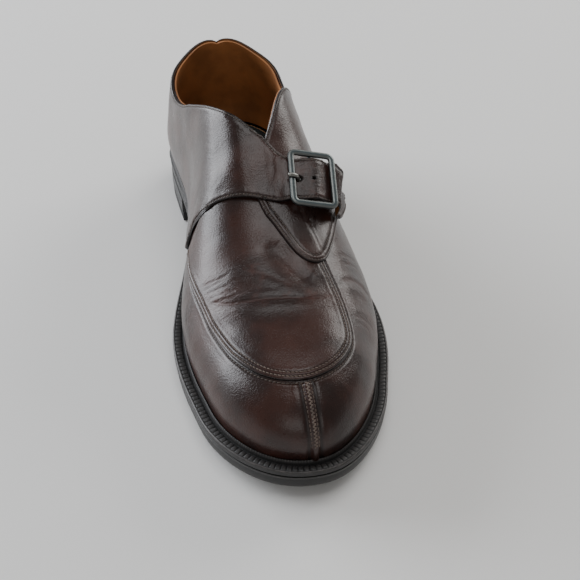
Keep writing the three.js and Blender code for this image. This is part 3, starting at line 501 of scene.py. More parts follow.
def raise_buckle():
    """Height that clears the frame's side bars of a strap that lies on the quarter."""
    edges = [side * BAR_AT + edge * BUCKLE_BAR for side in (-1, 1) for edge in (-0.5, 0.5)]
    under = place_under([(u, v * STRAP_HALF) for u in edges for v in (-1, 0, 1)])
    return in_buckle(lay(under, STRAP_LIFT))[2].max() - UNDER_BARS + GAP


BUCKLE_ORIGIN = BUCKLE_ORIGIN + BUCKLE_W * raise_buckle()
OVER_CENTRE = -CENTRE_BAR_DROP + CENTRE_BAR / 2 + GAP + LOOP + 2 * GAP
# The strap's rise over the centre bar, and the tip's twist off the quarter
HUMP, APPROACH = 9.0, 8.0
TWIST_FROM, TWIST = -10.0, 0.3


def strap_lift(flat, on_quarter):
    """Inner lift of the strap: flat on the quarter, under the side bars, over the centre bar, loose tip."""
    _, across = to_pattern(flat)
    ground, normal = surface(flat)
    _, _, w = in_buckle(ground)
    u, v, _ = in_buckle(ground + normal * LOOSE_LIFT)
    t = np.minimum(np.abs(u) / HUMP, 1)
    level = UNDER_BARS + (OVER_CENTRE - UNDER_BARS) * (1 - t * t) ** 2
    in_frame = (level - w) / np.maximum(normal @ BUCKLE_W, 0.5)
    start = smooth(u, -BAR_AT - APPROACH, -BAR_AT + 1)
    end = smooth(u, BAR_AT + 0.5, BAR_AT + 6)
    led = on_quarter + (np.maximum(in_frame, on_quarter) - on_quarter) * start
    tip = STRAP_LIFT + TWIST * np.maximum(v - TWIST_FROM, 0)
    held = led + (tip - led) * end
    return np.where((across < 0) | (u < -BAR_AT - APPROACH), on_quarter, held)


# Creases and relief

# Creases fade over a share of their length, and redden and wrinkle the leather this near
CREASE_FADE, CREASE_NEAR = 0.22, 5
CREASE_LINES = [(depth, width, lay(smooth_curve(places, 1.5))) for depth, width, places in CREASES]


def crease_relief(flat):
    """Height of the creases over flat points, how deep in a trough each one lies, and how near a crease."""
    real = lay(flat)
    height, trough, close = np.zeros(len(flat)), np.zeros(len(flat)), np.zeros(len(flat))
    for depth, width, line in CREASE_LINES:
        near = np.abs(real - line.mean(0)).max(1) < np.abs(line - line.mean(0)).max() + 12
        if not near.any():
            continue
        away, run = nearest_on_line(real[near], line)
        total = length_along(line)[-1]
        fade = smooth(run, 0, CREASE_FADE * total) * smooth(total - run, 0, CREASE_FADE * total)
        profile = np.exp(-(away / width) ** 2) * fade
        height[near] -= depth * profile
        close[near] = np.maximum(close[near], np.exp(-(away / CREASE_NEAR) ** 2))
        if depth > 0 and width < 2:
            trough[near] = np.maximum(trough[near], profile * min(depth / 0.6, 1))
    return height, trough, close


def waves(points, size, seed):
    """Slow uneven hills over real points, between about -1 and 1."""
    rng = np.random.default_rng(seed)
    total = np.zeros(len(points))
    for _ in range(6):
        way = rng.normal(size=3)
        way /= np.linalg.norm(way)
        total += np.sin(points @ way * (2 * math.pi / (size * rng.uniform(0.7, 1.5))) + rng.uniform(0, 6.28))
    return total / 3


# Cut pieces

def turned(line, left):
    """A closed flat line with its inside to the left, or to the right."""
    ends = np.roll(line, -1, 0)
    area = (line[:, 0] * ends[:, 1] - line[:, 1] * ends[:, 0]).sum()
    return line if (area > 0) == left else line[::-1]


def hex_grid(low, high, spacing):
    x, y = np.meshgrid(np.arange(low[0], high[0], spacing), np.arange(low[1], high[1], spacing * 0.866))
    x = x + (np.arange(len(x))[:, None] % 2) * spacing / 2
    return np.stack([x.ravel(), y.ravel()], -1)


def inside_all(points, rims):
    keep = is_inside(points, rims[0])
    for rim in rims[1:]:
        keep &= ~is_inside(points, rim)
    return keep


def cut_sheet(outline, rows, spacing, holes=(), guides=(), fine=None, form=surface):
    """Flat points and triangles of a cut piece, and how far the points lie from its edges.

    rows: real distances inside the edges that get their own points. guides: flat lines, each with
    the offsets beside it that get points. fine: a band of y with a closer spacing.
    """
    rims = [turned(line, i == 0) for i, line in enumerate((outline, *holes))]
    rims = [even_ring(line, form) for line in rims]
    real_rims = [lay(rim, form=form) for rim in rims]

    def edge_distance(flat):
        real = lay(flat, form=form)
        return np.min([nearest_on_line(real, line, True)[0] for line in real_rims], axis=0)

    extra = [beside(rim, row, True, form) for rim in rims for row in rows]
    low, high = outline.min(0), outline.max(0)
    grid = hex_grid(low, high, spacing)
    if fine:
        grid = grid[(grid[:, 1] < fine[0]) | (grid[:, 1] > fine[1])]
        close = hex_grid((low[0], max(low[1], fine[0])), (high[0], min(high[1], fine[1])), fine[2])
        grid = np.vstack([grid, close])
    grid = grid[inside_all(grid, rims)]
    grid = grid[edge_distance(grid) > rows[-1] + 0.4 * spacing]
    for line, offsets in guides:
        line = even_line(line, form=form)
        extra += [beside(line, offset, False, form) if offset else line for offset in offsets]
        away, _ = away_from(grid, line, form=form)
        grid = grid[away > max(abs(offset) for offset in offsets) + 0.4 * spacing]
    extra = np.vstack(extra + [grid])
    extra = extra[inside_all(extra, rims)]
    extra = extra[edge_distance(extra) > 0.12]
    constraints, base = [], 0
    for rim in rims:
        constraints += [(base + i, base + (i + 1) % len(rim)) for i in range(len(rim))]
        base += len(rim)
    places = [Vector(map(float, place)) for place in np.vstack(rims + [extra])]
    made = delaunay_2d_cdt(places, constraints, [], 0, 1e-4)
    flat = np.array([tuple(place) for place in made[0]])
    faces = np.array([face for face in made[2] if len(face) == 3])
    faces = faces[inside_all(flat[faces].mean(1), rims)]
    a, b, c = flat[faces[:, 0]], flat[faces[:, 1]], flat[faces[:, 2]]
    turn = (b[:, 0] - a[:, 0]) * (c[:, 1] - a[:, 1]) - (b[:, 1] - a[:, 1]) * (c[:, 0] - a[:, 0])
    faces[turn < 0] = faces[turn < 0][:, ::-1]
    used, faces = np.unique(faces, return_inverse=True)
    flat = flat[used]
    return flat, faces.reshape(-1, 3), edge_distance(flat)


def new_piece(name, points, faces, marks=None):
    """A new object from places in millimetres, with colours on its points."""
    mesh = bpy.data.meshes.new(name)
    mesh.from_pydata((points * MM).tolist(), [], faces)
    for key, values in (marks or {}).items():
        layer = mesh.attributes.new(key, "FLOAT_COLOR", "POINT")
        colours = np.ones((len(points), 4))
        colours[:, :values.shape[1]] = values
        layer.data.foreach_set("color", colours.ravel())
    obj = bpy.data.objects.new(name, mesh)
    bpy.context.scene.collection.objects.link(obj)
    return obj


def two_faced(name, top, under, faces, marks):
    """A closed piece between two layers of points, and the kind of each face.

    The kind is 0 on the upper layer, 1 on the lower one and 2 on the edge.
    """
    n = len(top)
    sides = np.vstack([faces[:, [0, 1]], faces[:, [1, 2]], faces[:, [2, 0]]])
    _, first, count = np.unique(np.sort(sides, axis=1), axis=0, return_index=True, return_counts=True)
    i, j = sides[first[count == 1]].T
    walls = np.vstack([np.stack([j, i, i + n], -1), np.stack([j, i + n, j + n], -1)])
    everything = np.vstack([faces, faces[:, ::-1] + n, walls])
    marks = {key: np.vstack([values, values]) for key, values in marks.items()}
    obj = new_piece(name, np.vstack([top, under]), everything.tolist(), marks)
    return obj, np.repeat([0, 1, 2], [len(faces), len(faces), len(walls)])


def rolled(away, radius, depth):
    """How far a rounded edge falls below the face, at a distance inside the edge."""
    t = np.clip(1 - away / radius, 0, 1)
    return depth * (1 - np.sqrt(np.maximum(1 - t * t, 0)))


def dip(away, at, width):
    return np.exp(-((away - at) / width) ** 2)


def select_only(*objects):
    if bpy.context.object and bpy.context.object.mode != "OBJECT":
        bpy.ops.object.mode_set(mode="OBJECT")
    bpy.ops.object.select_all(action="DESELECT")
    for obj in objects:
        obj.select_set(True)
    bpy.context.view_layer.objects.active = objects[0]


def dress_piece(obj, node, materials, kind=None, angle=50):
    """Gives a piece its finishes, smooths it and lets it stand for a solid of the frame."""
    for material in materials:
        obj.data.materials.append(material)
    if kind is not None:
        obj.data.polygons.foreach_set("material_index", kind)
    select_only(obj)
    bpy.ops.object.shade_smooth_by_angle(angle=math.radians(angle))
    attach(obj, "root")
    if node:
        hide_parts(node)


# Outlines in the flat pattern

def across_at_height(along, side, height, lift):
    """Pattern places across the last that stand at a height over its seat."""
    low, high = np.full(len(along), 0.3), np.full(len(along), 1.0)
    for _ in range(26):
        middle = (low + high) / 2
        real = lay(to_flat(np.stack([along, side * middle], -1)), lift)
        over = real[:, 2] - seat(real[:, 1]) > height
        low, high = np.where(over, middle, low), np.where(over, high, middle)
    return side * (low + high) / 2


def quarter_foot(side, end):
    along = np.concatenate([[0.0005], np.linspace(0.01, end, 60)])
    return to_flat(np.stack([along, across_at_height(along, side, FOOT_HEIGHT, FIRST_LIFT)], -1))


def lateral_lines():
    foot = quarter_foot(1, LATERAL_FRONT[0][0] - 0.02)
    front = smooth_curve(np.vstack([foot[-1:], to_flat(LATERAL_FRONT)]))
    return foot, front, table_edge(COLLAR, 2)[::-1]


def medial_lines():
    foot = quarter_foot(-1, MEDIAL_FRONT[0][0] - 0.02)
    shares = (-0.9, -0.5, 0, 0.5, 0.9)
    lower = place_under([(u * BAR_AT, -STRAP_HALF) for u in shares])
    upper = place_under([(u * BAR_AT, STRAP_HALF) for u in shares[::-1]])
    tip = place_under([(u * STRAP_TIP, v * STRAP_HALF) for u, v in STRAP_TIP_SHAPE])
    front = smooth_curve(np.vstack([foot[-1:], to_flat(MEDIAL_FRONT), lower]))
    end = smooth_curve(np.vstack([lower[-1:], tip, upper[:1]]))
    back = smooth_curve(np.vstack([upper, to_flat([(0.451, 0.085)])]))
    return foot, front, end, back, table_edge(COLLAR, 1)[::-1]


def apron_line():
    medial = to_flat([(row[0], row[1]) for row in APRON_EDGE])[::-1]
    lateral = to_flat([(row[0], row[2]) for row in APRON_EDGE])[1:]
    return smooth_curve(np.vstack([medial, lateral]))


def opening_line():
    lateral, medial = table_edge(COLLAR, 2), table_edge(COLLAR, 1)
    return np.vstack([medial, lateral[::-1][1:-1]])


LATERAL_FOOT, LATERAL_FRONT_LINE, LATERAL_COLLAR = lateral_lines()
MEDIAL_FOOT, MEDIAL_FRONT_LINE, STRAP_END_LINE, STRAP_BACK_LINE, MEDIAL_COLLAR = medial_lines()
APRON_LINE = apron_line()
LATERAL_OUTLINE = np.vstack([LATERAL_FOOT, LATERAL_FRONT_LINE[1:], LATERAL_COLLAR[1:]])
STRAP_LINE = np.vstack([MEDIAL_FRONT_LINE, STRAP_END_LINE[1:-1], STRAP_BACK_LINE])
MEDIAL_OUTLINE = np.vstack([MEDIAL_FOOT, STRAP_LINE[1:], MEDIAL_COLLAR[1:]])
APRON_BACK = [(APRON_END, share * APRON_END_HALF) for share in (1, 0, -1)]
APRON_OUTLINE = np.vstack([APRON_LINE, to_flat(APRON_BACK)])


def inside_by(flat, outline, line):
    """Real distance inside an outline, measured to one of its lines, and how far along that line."""
    away, run = away_from(flat, line)
    return np.where(is_inside(flat, outline), away, -away), run


# What lies under each layer

def ground_relief(flat):
    """Height of the folds that the vamp and the apron share, with marks for the leather."""
    height, trough, near = crease_relief(flat)
    along, across = to_pattern(flat)
    height = height * (1 - smooth(np.abs(across), 0.86, 0.95))
    covered = np.zeros(len(flat))
    for outline, line in ((LATERAL_OUTLINE, LATERAL_FRONT_LINE), (MEDIAL_OUTLINE, MEDIAL_FRONT_LINE)):
        inside, _ = inside_by(flat, outline, line)
        covered = np.maximum(covered, smooth(inside, -1.2, 0.2))
    real = lay(flat)
    soft = waves(real, 17, 3) * 0.10 * smooth(along, 0.5, 0.62) * (1 - smooth(along, 0.9, 1.0))
    height = height + soft
    return np.where(height > 0, height * (1 - covered), height * (1 - 0.75 * covered)), trough, near


def under_lift(flat):
    """Lift of what a quarter lies on: the vamp, then the apron, with the quarter draped between them."""
    inside, _ = inside_by(flat, APRON_OUTLINE, np.vstack([APRON_OUTLINE, APRON_OUTLINE[:1]]))
    along, _ = to_pattern(flat)
    reach = 3.2 + 12 * (1 - smooth(along, 0.49, 0.56))
    return WALL + (FIRST_LIFT + APRON - WALL) * smooth((inside + reach) / (reach + 0.8), 0, 1)


# A quarter's rounded edge, and the distances from its edges that get rows of points
ROLL = 0.95
QUARTER_ROWS = (0.22, 0.5, 0.85, 1.3, 1.75, 2.3)
# Seams, in millimetres from the edge that they follow
SEAM_AT, SECOND_SEAM, SEAM_HALF = 1.35, 4.0, 0.42
VAMP_SEAM, APRON_SEAMS, BETWEEN_SEAMS = 1.2, (1.8, 3.8), 2.8
# Split toe: half width of its fold, and the valleys beside it
FOLD_HALF, VALLEY_AT = 0.75, 3.1
TOE_TOP = FLAT_TOE - APRON_EDGE[0][2] * REACH
# Where creases need closer points: from y, to y and spacing
FOLD_BAND = (-206, -140, 1.05)
APRON_FOLD_BAND = (-196, -150, 0.8)


def leather_marks(flat, seam, edge, trough, near):
    """Colours on a leather piece's points: seam, trough and edge, then how near a fold, and how red. The seam
    mark is painted shade in the seams' grooves, and on the vamp also along the apron's edge and by the toe's
    fold; the edge mark is the edges' black paint, and on the vamp painted shade along the apron's edge.
    """
    red = np.clip(0.5 + waves(lay(flat), 23, 11), 0, 1) * smooth(near, 0.1, 0.7)
    first = np.stack([seam, trough, edge], -1)
    second = np.stack([near, red, np.zeros(len(flat))], -1)
    return {"marks": np.clip(first, 0, 1), "tone": np.clip(second, 0, 1)}


def make_panel(name, node, cut, heights, marks, materials):
    """A leather piece between two heights over the last."""
    flat, faces = cut
    top, under = (surface(flat, height)[0] for height in heights)
    obj, kind = two_faced(name, top, under, faces, marks)
    dress_piece(obj, node, materials, kind)


def split_ridge(flat, outside):
    """Height of the split toe's raised fold, and a mask of the painted shade in the valleys beside it."""
    x = np.abs(lay(flat)[:, 0])
    on_toe = 1 - smooth(flat[:, 1], TOE_TOP - 1, TOE_TOP + 3)
    here = smooth(outside, 0.4, 2.6) * on_toe * (x < 14)
    fold = 1.25 * (1 - smooth(x, FOLD_HALF, 2.2))
    ridge = fold - 0.5 * dip(x, VALLEY_AT, 0.75) + 0.30 * dip(x, 5.4, 1.7)
    return ridge * here, dip(x, VALLEY_AT, 0.9) * here


def make_upper(finishes, sizes):
    """The vamp: one skin round the whole last, with the split toe's fold and the apron's seat."""
    rim = 0.993 * REACH
    right = np.array([(rim, y) for y in np.arange(FLAT_HEEL, FLAT_TOE, -2.0)])
    toe = [(rim * math.cos(a), FLAT_TOE + rim * math.sin(a)) for a in np.linspace(0, -math.pi, 120)]
    heel = [(rim * math.cos(a), FLAT_HEEL + rim * math.sin(a)) for a in np.linspace(math.pi, 0, 120)]
    outline = np.vstack([right, toe, right[::-1] * (-1, 1), heel[:-1]])
    opening = beside(even_ring(turned(opening_line(), True)), -0.35, True)
    centre = np.stack([np.zeros(100), np.linspace(TOE_TOP + 1, FLAT_TOE - rim + 1, 100)], -1)
    half = (0.7, 1.3, 1.9, 2.5, 3.1, 3.9, 4.6, 6.5)
    split = (*(-x for x in half[::-1]), 0, *half)
    guides = ((APRON_LINE, (-3.2, -2.4, -1.9, -1.55, -1.2, -0.85, -0.45, 0.0, 1.0)), (centre, split))
    flat, faces, _ = cut_sheet(outline, (0.5, 1.2), 1.7, (opening,), guides, FOLD_BAND)
    height, trough, near = ground_relief(flat)
    inside, _ = inside_by(flat, APRON_OUTLINE, APRON_LINE)
    outside = -inside
    seam = dip(outside, VAMP_SEAM, 0.5) * (outside > -0.5)
    # Painted shade on the vamp along the apron's raised edge
    apron_lap_shade = np.exp(-np.clip(outside + 0.2, 0, None) / 0.35) * (outside > -0.6)
    ridge, toe_valley_shade = split_ridge(flat, outside)
    drop = 0.30 * seam * sizes.seam_depth - 0.22 * dip(outside, 2.6, 0.9) - 0.10 * dip(outside, 0.4, 0.4)
    to_opening, _ = away_from(flat, opening, True)
    outer = WALL + height - drop + ridge - rolled(to_opening, 1.0, 0.9)
    # Painted shade in the seam's groove, along the apron's edge and in the valleys by the toe's fold
    dark = np.maximum(seam, np.maximum(0.8 * apron_lap_shade, 0.8 * toe_valley_shade))
    marks = leather_marks(flat, dark, 0.9 * apron_lap_shade, trough, near)
    materials = (finishes.leather, finishes.lining, finishes.lining)
    make_panel("vamp", "upper", (flat, faces), (outer, SKIN), marks, materials)


def make_apron(finishes, sizes):
    """The apron, puckered between the two rows that sew it on."""
    rows = (0.22, 0.5, 0.85, 1.3, 1.8, 2.3, 2.8, 3.3, 3.8, 4.4, 5.1)
    flat, faces, _ = cut_sheet(APRON_OUTLINE, rows, 1.2, fine=APRON_FOLD_BAND)
    height, trough, near = ground_relief(flat)
    inside, run = inside_by(flat, APRON_OUTLINE, APRON_LINE)
    first, second = (dip(inside, at, SEAM_HALF) for at in APRON_SEAMS)
    lateral = smooth(lay(flat)[:, 0], 4, 14)
    pucker = 0.13 * np.sin(run * 2 * math.pi / 2.7) * dip(inside, BETWEEN_SEAMS, 0.75)
    puff = 0.28 * dip(inside, BETWEEN_SEAMS, 0.7) + 0.20 * dip(inside, 5.0, 1.0)
    puff = puff + pucker * (0.35 + 0.65 * lateral)
    drop = 0.34 * (first + 0.85 * second) * sizes.seam_depth
    outer = FIRST_LIFT + APRON + 0.15 + height + puff - drop - rolled(inside, 1.0, 1.05)
    inner = WALL + SKIN + height
    edge = 1 - smooth(inside, 0.0, 0.7)
    # Painted shade in the grooves of the two seams; the edge mark is the edges' black paint
    marks = leather_marks(flat, np.maximum(first, 0.9 * second), edge, trough, near)
    materials = (finishes.leather, finishes.lining, finishes.edge)
    make_panel("apron_plug", "apron", (flat, faces), (outer, inner), marks, materials)


def make_lateral_quarter(finishes, sizes):
    """The outer quarter, with two rows of stitches along its rounded front."""
    second = beside(even_line(LATERAL_FRONT_LINE), -SECOND_SEAM)
    guides = ((second, (-0.6, -0.3, 0, 0.3, 0.6)),)
    flat, faces, away = cut_sheet(LATERAL_OUTLINE, QUARTER_ROWS, 1.5, guides=guides)
    seam = dip(away, SEAM_AT, SEAM_HALF)
    from_front, _ = away_from(flat, LATERAL_FRONT_LINE)
    row = dip(from_front, SECOND_SEAM, SEAM_HALF)
    real = lay(flat)
    inner = under_lift(flat) + UNDER_QUARTER
    folds = 0.16 * waves(real, 21, 5) + 0.25 * dip(from_front, 2.7, 0.7)
    folds = folds * smooth(away, 0.5, 5)
    outer = inner + OVERLAY + 0.14 * dip(away, 2.5, 0.8) + folds
    outer = outer - 0.3 * (seam + row) * sizes.seam_depth - rolled(away, ROLL, 1.25)
    near = 0.35 * np.clip(0.5 + waves(real, 19, 8), 0, 1)
    edge = 1 - smooth(away, 0.0, 0.8)
    # Painted shade in the grooves of both rows; the edge mark is the edges' black paint
    marks = leather_marks(flat, np.maximum(seam, row), edge, np.zeros(len(flat)), near)
    materials = (finishes.leather, finishes.lining, finishes.edge)
    make_panel("lateral_quarter_leather", "lateral_quarter", (flat, faces), (outer, inner), marks, materials)


def prong_holes():
    """Round holes of the strap, as flat lines: the one the prong goes through and a spare one."""
    turn = np.linspace(0, 2 * math.pi, 15)[:-1]
    holes = ((PRONG_HOLE_AT, PRONG_HOLE / 2), (-0.6, 1.0))
    return [place_under(np.stack([u + r * np.cos(turn), r * np.sin(turn)], -1)) for u, r in holes]


# Wrinkles across the strap: where along it, how far they lean, depth and width
STRAP_WRINKLES = ((-16.4, 0.05, 0.38, 0.8), (-19.0, 0.08, 0.42, 0.9), (-22.4, -0.05, 0.2, 1.2))
FRAMED_WRINKLES = ((-2.6, 0.25, 0.8), (3.9, 0.22, 0.8), (6.3, 0.16, 0.6))


def strap_relief(flat):
    """Wrinkles of the strap where it bends into the buckle, and the worn part in the frame."""
    ground, normal = surface(flat)
    u, v, _ = in_buckle(ground + normal * LOOSE_LIFT)
    on_strap = smooth(u, -46, -38) * (1 - smooth(u, 24, 28)) * (np.abs(v) < 16)
    relief = np.zeros(len(flat))
    for at, lean, depth, width in STRAP_WRINKLES:
        bend = u - at - lean * v - 0.5 * np.sin(v * 0.5 + at)
        relief -= depth * np.exp(-(bend / width) ** 2) * (1 - 0.35 * np.abs(v) / 12)
    for at, depth, width in FRAMED_WRINKLES:
        bend = u - at - 0.06 * v - 0.45 * np.sin(v * 0.42 + at)
        relief -= depth * np.exp(-(bend / width) ** 2)
    return relief * on_strap, np.exp(-((u + 2.0) / 6.0) ** 4) * on_strap


def make_medial_quarter(finishes, sizes):
    """The inner quarter in one piece with the strap that runs through the buckle."""
    flat, faces, away = cut_sheet(MEDIAL_OUTLINE, QUARTER_ROWS, 1.3, prong_holes())
    edge, _ = away_from(flat, even_ring(MEDIAL_OUTLINE), True)
    seam = dip(edge, SEAM_AT, SEAM_HALF)
    wrinkles, window = strap_relief(flat)
    _, across = to_pattern(flat)
    base = under_lift(flat) + UNDER_QUARTER
    inner = strap_lift(flat, base + (OVERLAY + 0.15) * smooth(across, -0.32, -0.12))
    real = lay(flat)
    folds = 0.16 * waves(real, 21, 6) * smooth(away, 0.5, 5) * (1 - smooth(across, -0.1, 0.1))
    outer = inner + OVERLAY + 0.14 * dip(edge, 2.5, 0.8) + folds + wrinkles * smooth(edge, 0.0, 2.0)
    outer = outer - 0.3 * seam * sizes.seam_depth - rolled(edge, ROLL, 1.2)
    at_hole = np.where(away < edge - 0.01, away, 9)
    outer = outer - rolled(at_hole, 0.5, 0.4)
    near = np.clip(0.25 * (0.5 + waves(real, 19, 8)) + 0.9 * window, 0, 1)
    trough = np.clip(-wrinkles * 2.2, 0, 1)
    # Painted shade in the seam's groove; the edge mark is the edges' black paint
    marks = leather_marks(flat, seam, 1 - smooth(away, 0.0, 0.8), trough, near)
    marks["tone"][:, 1] = np.clip(marks["tone"][:, 1] * 0.5 + window, 0, 1)
    materials = (finishes.leather, finishes.lining, finishes.edge)
    cut, heights = (flat, faces), (outer, inner)
    make_panel("medial_quarter_leather", "medial_quarter_strap", cut, heights, marks, materials)


# Stitches

# How far over the last a ray starts that looks for the leather's face
ABOVE = 11.0


def stitch_shape():
    """One stitch, a small rounded capsule one unit long, modelled at the origin."""
    bpy.ops.object.select_all(action="DESELECT")
    bpy.ops.mesh.primitive_cylinder_add(vertices=6, radius=0.5, depth=0.62, rotation=(0, math.pi / 2, 0))
    obj = bpy.context.object
    bpy.ops.object.transform_apply(location=True, rotation=True, scale=True)
    bpy.ops.object.mode_set(mode="EDIT")
    bpy.ops.mesh.select_mode(type="FACE")
    bpy.ops.mesh.select_all(action="DESELECT")
    bpy.ops.object.mode_set(mode="OBJECT")
    for face in obj.data.polygons:
        face.select = abs(face.normal.x) > 0.9
    bpy.ops.object.mode_set(mode="EDIT")
    bpy.ops.mesh.extrude_region_move()
    bpy.ops.object.mode_set(mode="OBJECT")
    places = np.array([tuple(vertex.co) for vertex in obj.data.vertices])
    tips = np.array([vertex.select for vertex in obj.data.vertices])
    places[tips, 0] += np.sign(places[tips, 0]) * 0.19
    places[tips, 1:] *= 0.5
    faces = [tuple(face.vertices) for face in obj.data.polygons]
    mesh = obj.data
    bpy.data.objects.remove(obj)
    bpy.data.meshes.remove(mesh)
    return places, faces


def laid_on(obj, flat, lift):
    """Places and normals of a finished piece under flat points, looked at along the last's normal."""
    ground, normal = surface(flat)
    places, normals, found = [], [], []
    for start, way in zip((ground + normal * lift) * MM, normal):
        hit, place, face_normal, _ = obj.ray_cast(Vector(start), Vector(-way))
        found.append(hit)
        places.append(tuple(place) if hit else (0, 0, 0))
        normals.append(tuple(face_normal) if hit else (0, 0, 1))
    return np.array(places) / MM, np.array(normals), np.array(found)


def stitch_line(obj, line, pitch, gap, width, tilt=0.0, lift=ABOVE):
    """Stitches along a flat line over a piece: centres, ways, normals, lengths and widths."""
    line = even_line(line, 0.4)
    places, normals, found = laid_on(obj, line, lift)
    places, normals = places[found], normals[found]
    if len(places) < 4:
        return []
    run = length_along(places)
    stitches = []

    def take(at, values):
        return np.array([np.interp(at, run, values[:, i]) for i in range(3)])

    for at in np.arange(pitch / 2, run[-1] - pitch / 2, pitch):
        centre = take(at, places)
        way = take(at + pitch / 2, places) - take(at - pitch / 2, places)
        if np.linalg.norm(way) < 0.6 * pitch:
            continue
        normal = take(at, normals)
        normal /= np.linalg.norm(normal)
        way -= normal * (way @ normal)
        way /= np.linalg.norm(way)
        side = np.cross(normal, way)
        turned_way = way * math.cos(tilt) + side * math.sin(tilt)
        stitches.append((centre + normal * 0.30 * width, turned_way, normal, pitch * (1 - gap), width))
    return stitches


def sew(name, stitch, stitches, material):
    """Copies of the stitch laid on a seam, as one piece."""
    shape, shape_faces = stitch
    x, y, z = shape.T
    points, faces = [], []
    for centre, way, normal, length, width in stitches:
        side = np.cross(normal, way)
        bent = -0.42 * width * (2 * x) ** 4
        height = z * width * 0.8 + bent
        placed = centre + np.outer(x * length, way) + np.outer(y * width, side) + np.outer(height, normal)
        base = len(points) * len(shape)
        points.append(placed)
        faces += [tuple(base + i for i in face) for face in shape_faces]
    obj = new_piece(name, np.vstack(points), faces)
    dress_piece(obj, None, (material,), angle=80)


# Bottom

# The pattern's rim, just inside its outermost line
RIM = 0.99999


def rim_line(count):
    """Columns round the sole at an even step: places and outward ways at the feather line, widths and run."""
    fine = 900
    along = np.concatenate([np.linspace(0, 1, fine), np.linspace(1, 0, fine)[1:-1]])
    side = np.concatenate([np.ones(fine), -np.ones(fine - 2)])
    flat = to_flat(np.stack([along, side * RIM], -1))
    flat[side < 0, 0] = -np.abs(flat[side < 0, 0])
    ground, way = surface(flat)
    way = way * (1, 1, 0)
    way /= np.linalg.norm(way, axis=1, keepdims=True)
    width = COLUMN["edge"](held_at(ground[:, 1])) * WELT_WIDTH
    outer = ground + way * width[:, None]
    run = length_along(np.vstack([outer, outer[:1]])[:, :2])
    at = np.linspace(0, run[-1], count + 1)[:-1]

    def take(values):
        values = np.vstack([values, values[:1]])
        return np.stack([np.interp(at, run, values[:, i]) for i in range(values.shape[1])], -1)

    ground, way, width = take(ground), take(way), take(width[:, None])[:, 0]
    way /= np.linalg.norm(way, axis=1, keepdims=True)
    return ground, way, width, at


def ring_at(columns, out, height=0.0):
    """Places so far out from the feather line and so high over the sole's underside."""
    ground, way, _, _ = columns
    place = ground + way * np.asarray(out, float).reshape(-1, 1)
    place[:, 2] = underside(place[:, 1]) + height
    return place


def loft(name, rings, marks, closed=False, ends=None):
    """A skin over rings of points. Closed, its last ring joins its first.

    Otherwise its ends are closed by one face each, or by strips from side to side.
    """
    n, last = len(rings[0]), len(rings) - 1
    index = np.arange(n)
    after = (index + 1) % n
    pairs = [(k, k + 1) for k in range(last)] + ([(last, 0)] if closed else [])
    faces = [np.stack([a * n + index, a * n + after, b * n + after, b * n + index], -1) for a, b in pairs]
    faces = np.vstack(faces).tolist()
    if ends == "faces":
        faces += [list(range(n))[::-1], [last * n + i for i in range(n)]]
    if ends == "strips":
        for low in (0, last * n):
            for i in range(n // 2):
                strip = dict.fromkeys((i, i + 1, (n - i - 1) % n, (n - i) % n))
                faces.append([low + k for k in strip])
    obj = new_piece(name, np.vstack(rings), faces, {"marks": marks})
    select_only(obj)
    bpy.ops.object.mode_set(mode="EDIT")
    bpy.ops.mesh.select_all(action="SELECT")
    bpy.ops.mesh.normals_make_consistent(inside=False)
    bpy.ops.object.mode_set(mode="OBJECT")
    return obj


def sole_loft(name, columns, rows, **kind):
    """A skin round the sole, from rows of: how far out, how high, how dark with painted shade, and how
    rubbed, partly wear and partly painted highlight.
    """
    count = len(columns[0])
    rings = [ring_at(columns, np.broadcast_to(out, count), height) for out, height, _, _ in rows]
    tones = [np.stack([np.broadcast_to(value, count) for value in (dark, rub_and_highlight, 0.0)], -1)
             for _, _, dark, rub_and_highlight in rows]
    return loft(name, rings, np.clip(np.vstack(tones), 0, 1), **kind)


def column_places(ground):
    """Pattern place along, and side, of places on the feather line."""
    along = np.linspace(0, 1, 1500)
    found = np.zeros(len(ground))
    side = np.where(ground[:, 0] < 0, -1.0, 1.0)
    for way in (-1.0, 1.0):
        flat = to_flat(np.stack([along, np.full(1500, way * RIM)], -1))
        line, _ = surface(flat)
        mine = side == way
        _, run = nearest_on_line(ground[mine], line)
        found[mine] = np.interp(run, length_along(line), along)
    return found, side


def wall_reach(columns):
    """How far out the vamp's or the quarter's face stands at the height of the welt's lip."""
    ground, way, _, _ = columns
    height = WELT + LIP - INSOLE - 0.4
    along, side = column_places(ground)
    reach = np.zeros(len(ground))
    best = np.full(len(ground), 1e9)
    for share in np.linspace(0.70, 0.999, 60):
        place, _ = surface(to_flat(np.stack([along, side * share], -1)), np.full(len(ground), WALL))
        miss = np.abs(place[:, 2] - seat(place[:, 1]) - height)
        out = ((place - ground) * way).sum(1)
        better = miss < best
        best[better], reach[better] = miss[better], out[better]
    quarter = ground[:, 1] > lay(to_flat([(0.46, 0.9)]))[0, 1]
    return reach + np.where(quarter, OVERLAY * smooth(ground[:, 1], -112, -100), 0)


